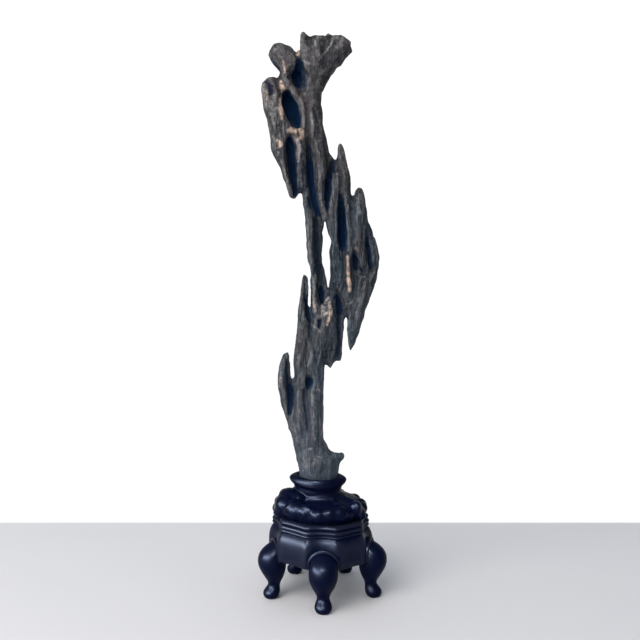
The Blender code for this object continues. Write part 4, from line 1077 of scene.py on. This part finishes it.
stoneLook = {
    "clouds": ("upright", 60, 6, 0.6, 0),
    "tints": ("even", 26, 3, 0.5, 0),
    "streaks": ("upright", 360, 6, 0.7, 0),
    "creases": ("long", 210, 3, 0.5, 0.3),
    "grit": ("even", 1300, 3, 0.5, 0),
    "blotch": ("even", 240, 4, 0.7, 0),
    "splits": ("long", 130, 4, 0.5, 0.5),
    "darkGrey": (0.023, 0.024, 0.026),
    "grey": (0.070, 0.062, 0.066),
    "greenish": (0.034, 0.040, 0.033),
    "purplish": (0.058, 0.045, 0.053),
    "bluish": (0.017, 0.031, 0.046),
    "foot": (0.094, 0.118, 0.158),
    "speckle": ((0.130, 0.119, 0.126), (0.048, 0.074, 0.103)),  # high on the stone, and lower where it is bluer
    # ridge tone: partly rubbed wear, partly painted highlight; the flecks use it too
    "edge": ((0.19, 0.18, 0.18), (0.125, 0.150, 0.180)),
    # crest lines: partly wear, partly painted highlight
    "crest": ((0.26, 0.25, 0.25), (0.180, 0.205, 0.240)),
    "grime": (0.018, 0.019, 0.023),
    "crack": (0.006, 0.008, 0.013),
    # pale veins, and painted highlights on lit faces and ridges
    "pale": (0.50, 0.49, 0.50),
    "tan": ((0.48, 0.32, 0.23), (0.88, 0.67, 0.54)),
    # painted shade colour in the hollows
    "hollow": (0.0014, 0.025, 0.088),
    "shade": (0.013, 0.019, 0.020),  # painted shade where it is light
    "deepShade": ((0.0006, 0.026, 0.086), (0.0005, 0.0110, 0.036)),  # inside hollows and in the open
    "crownFrom": (0.47, 0.52),  # m, no flutes up there, only broad mottled faces
    "coolFrom": (0.42, 0.49),
    "hollowFrom": (0.15, 0.7),  # how much sky is seen where the shade is full, and where it ends
    "shader": {"Specular IOR Level": 0.02},
}


def stoneMaterial():
    look = stoneLook
    material, tree, shader = newMaterial("dark stone", look["shader"])
    place = objectPlace(tree)
    clouds, tints, streaks, creases, grit, blotch, splits = (
        noiseFrom(tree, place, look[name])
        for name in ("clouds", "tints", "streaks", "creases", "grit", "blotch", "splits"))
    high = addNode(tree, "ShaderNodeSeparateXYZ", {"Vector": place}).outputs["Z"]
    edge = attribute(tree, "edge")
    crown = mapRange(tree, high, *look["crownFrom"])
    cool = maths(tree, "MULTIPLY", mapRange(tree, high, *look["coolFrom"], 0.95, 0),
                 mapRange(tree, clouds, 0.42, 0.58, 1, 0.3))  # bluer where it is darker
    fluted = maths(tree, "MULTIPLY", mapRange(tree, high, *look["crownFrom"], 1, 0.25),
                   mapRange(tree, high, 0.19, 0.26, 0.5, 1))
    mottle = mixed(tree, "Float", crown, streaks, blotch)
    speckle, edgeTone, crestTone = (colourMix(tree, cool, *look[name]) for name in ("speckle", "edge", "crest"))
    crest = maths(tree, "MULTIPLY", thinLines(tree, creases, 0.5, 0.05), fluted)
    crack = maths(tree, "MULTIPLY", thinLines(tree, splits, 0.47, 0.018), fluted)
    # crest lines lighter over ridges: partly wear, partly painted highlight
    wornAndLitCrests = maths(tree, "MULTIPLY", crest, mapRange(tree, edge, 0.5, 0.8))
    tan = colourMix(tree, mapRange(tree, grit, 0.35, 0.65), *look["tan"])

    colour = colourMix(tree, mapRange(tree, clouds, 0.38, 0.62), look["darkGrey"], look["grey"])
    for where, tone in (  # one over the other
            (mapRange(tree, tints, 0.50, 0.62, 0, 0.55), look["greenish"]),
            (mapRange(tree, tints, 0.50, 0.38, 0, 0.55), look["purplish"]),
            (cool, look["bluish"]),
            (mapRange(tree, high, 0.15, 0.33, 0.62, 0), look["foot"]),
            (mapRange(tree, mottle, 0.47, 0.66, 0, 0.62), speckle),
            (mapRange(tree, wornAndLitCrests, 0, 0.6, 0, 0.5), crestTone),
            # ridges lighter: partly rubbed wear, partly painted highlight
            (mapRange(tree, edge, 0.56, 0.9, 0, 0.75), edgeTone),
            (mapRange(tree, grit, 0.42, 0.62, 0, 0.45), look["grime"]),
            (mapRange(tree, crack, 0, 1, 0, 0.8), look["crack"]),
            (mapRange(tree, blotch, 0.58, 0.64, 0, 0.45), edgeTone),
            (masked(tree, attribute(tree, "pale"), blotch, 0.85), look["pale"]),
            (masked(tree, attribute(tree, "tan"), blotch, 0.8), tan)):
        colour = colourMix(tree, where, colour, tone)
    colour = shadeHollows(tree, colour, look)

    dark = attribute(tree, "shade")
    deep = colourMix(tree, mapRange(tree, attribute(tree, "hollow"), 0.1, 0.6), *look["deepShade"])
    deep = colourMix(tree, mapRange(tree, dark, 0.45, 0.7), look["shade"], deep)
    colour = colourMix(tree, mapRange(tree, dark, 0, 1, 0, 0.97), colour, deep)
    tree.links.new(colour, shader.inputs["Base Color"])
    rough = maths(tree, "MAXIMUM", mapRange(tree, mottle, 0.3, 0.7, 0.36, 0.6), dark)
    tree.links.new(rough, shader.inputs["Roughness"])
    bumpLayers(tree, shader, [(crest, 0.8, 0.0016, False), (crack, 0.7, 0.0012, True),
                              (mottle, 0.6, 0.0024, False), (grit, 0.4, 0.0006, False)])
    return material


woodLook = {
    "grain": ("fibre", 700, 5, 0.6, 0),
    "clouds": ("even", 45, 4, 0.5, 0),
    "dark": ((0.0005, 0.0036, 0.0215), (0.0014, 0.0026, 0.0170)),
    "fibres": (0.0042, 0.0034, 0.016),
    # edge tone: partly rubbed wear, partly painted sheen
    "edge": (0.022, 0.026, 0.045),
    # painted shade colour in the hollows of the carving
    "hollow": (0.0008, 0.0030, 0.016),
    "hollowFrom": (0.15, 0.65),
    "shader": {"Specular IOR Level": 0.04, "Specular Tint": (0.48, 0.66, 1.0, 1), "Coat Weight": 0.025,
               "Coat Roughness": 0.38},
}


def woodMaterial():
    look = woodLook
    material, tree, shader = newMaterial("lacquered wood", look["shader"])
    place = objectPlace(tree)
    grain = noiseFrom(tree, place, look["grain"])
    clouds = noiseFrom(tree, place, look["clouds"])
    colour = colourMix(tree, mapRange(tree, clouds, 0.35, 0.65), *look["dark"])
    colour = colourMix(tree, mapRange(tree, grain, 0.4, 0.7, 0, 0.5), colour, look["fibres"])
    # edges lighter: partly rubbed wear, partly painted sheen
    colour = colourMix(tree, mapRange(tree, attribute(tree, "edge"), 0.6, 0.95, 0, 0.5), colour, look["edge"])
    tree.links.new(shadeHollows(tree, colour, look), shader.inputs["Base Color"])
    dull = mapRange(tree, attribute(tree, "hollow"), 0.1, 0.5, 0.9, 0)  # no polish reaches into the hollows
    rough = maths(tree, "MAXIMUM", mapRange(tree, clouds, 0.3, 0.7, 0.30, 0.40), dull)
    tree.links.new(rough, shader.inputs["Roughness"])
    bumpLayers(tree, shader, [(grain, 0.05, 0.0004, False)])
    return material


# floor, light, camera

studio = {
    "floorSize": 60,  # m
    "floor": ((0.715, 0.695, 0.705), (0.65, 0.635, 0.645)),
    "wallFrom": (0.213, 0.22),  # m back, where the table ends and the wall begins
    "shader": {"Emission Strength": 1.0, "Roughness": 0.7, "Specular IOR Level": 0.03},
    "sky": (0.86, 0.93, 1.0, 1),
    "backdrop": 1.1,
    "lamps": {  # place, width, height, power, whether it lights the surface or only makes a highlight
        "key": ((-0.85, -1.1, 1.25), 1.5, 1.5, 29, True),
        "window": ((-1.25, -0.95, 0.6), 1.7, 0.6, 350, False),
        "front": ((-0.21, -1.21, 1.09), 0.4, 0.22, 110, False),
    },
    "lampColour": (1.0, 0.985, 0.965),
    "lampAim": (0, 0, 0.2),
    "lens": 888 / 640,  # focal length as a share of the picture's width
    "sensor": 36,
    "lookDown": 6.2,  # degrees
}


def makeFloor():
    deselectAll()
    bpy.ops.mesh.primitive_plane_add(size=studio["floorSize"])
    floor = bpy.context.object
    floor.name = floor.data.name = "pale_floor"
    material, tree, shader = newMaterial("pale floor", studio["shader"])
    place = objectPlace(tree)
    back = addNode(tree, "ShaderNodeSeparateXYZ", {"Vector": place}).outputs["Y"]
    far = mapRange(tree, back, *studio["wallFrom"])
    mottle = noiseFrom(tree, place, ("even", 9, 2, 0.5, 0))
    colour = colourMix(tree, mapRange(tree, mottle, 0.4, 0.6, 0, 0.05), *studio["floor"])
    tree.links.new(colourMix(tree, far, colour, (0.05, 0.05, 0.05)), shader.inputs["Base Color"])
    tree.links.new(colourMix(tree, far, (0, 0, 0), (1, 1, 1)), shader.inputs["Emission Color"])
    floor.data.materials.append(material)


def makeSky():
    world = bpy.data.worlds.new("studio")
    scene.world = world
    world.use_nodes = True
    tree = world.node_tree
    light = tree.nodes["Background"]
    light.inputs["Color"].default_value = studio["sky"]
    way = addNode(tree, "ShaderNodeTexCoord").outputs["Generated"]
    way = addNode(tree, "ShaderNodeSeparateXYZ", {"Vector": way}).outputs
    front = mapRange(tree, way["Y"], -0.85, -0.2, 0.4, 1)  # the room in front is dimmer
    side = mapRange(tree, way["X"], -0.8, 0.8, 0.81, 0.57)  # and the windows are on the left
    rays = addNode(tree, "ShaderNodeLightPath").outputs
    dim = mapRange(tree, rays["Is Glossy Ray"], 0, 1, 1, 0.45)  # keeps sheen from washing out the dark wood
    strength = maths(tree, "MULTIPLY", maths(tree, "MULTIPLY", front, side), dim)
    tree.links.new(strength, light.inputs["Strength"])
    backdrop = addNode(tree, "ShaderNodeBackground", {"Color": (1, 1, 1, 1), "Strength": studio["backdrop"]})
    both = addNode(tree, "ShaderNodeMixShader", {0: rays["Is Camera Ray"], 1: light.outputs[0],
                                                 2: backdrop.outputs[0]})
    tree.links.new(both.outputs[0], tree.nodes["World Output"].inputs["Surface"])


def makeLamps():
    for name, (place, width, height, power, lights) in studio["lamps"].items():
        lamp = bpy.data.lights.new(name, "AREA")
        lamp.shape = "RECTANGLE"
        lamp.size, lamp.size_y = width, height
        lamp.energy = power
        lamp.color = studio["lampColour"]
        light = bpy.data.objects.new(name, lamp)
        scene.collection.objects.link(light)
        light.location = place
        light.rotation_euler = (Vector(studio["lampAim"]) - Vector(place)).to_track_quat("-Z", "Y").to_euler()
        light.visible_diffuse = lights


def makeCamera():
    lens = bpy.data.cameras.new("camera")
    lens.sensor_width = studio["sensor"]
    lens.lens = studio["lens"] * studio["sensor"]
    camera = bpy.data.objects.new("camera", lens)
    scene.collection.objects.link(camera)
    camera.location = eye
    camera.rotation_euler = (math.radians(90 - studio["lookDown"]), 0, 0)
    scene.camera = camera
    scene.view_settings.view_transform = "Standard"


print("scene: start")
makeHollowShade()
makeStone()
makeStand()
makeLegs()
makeFloor()
makeSky()
makeLamps()
makeCamera()
print("scene: studio")
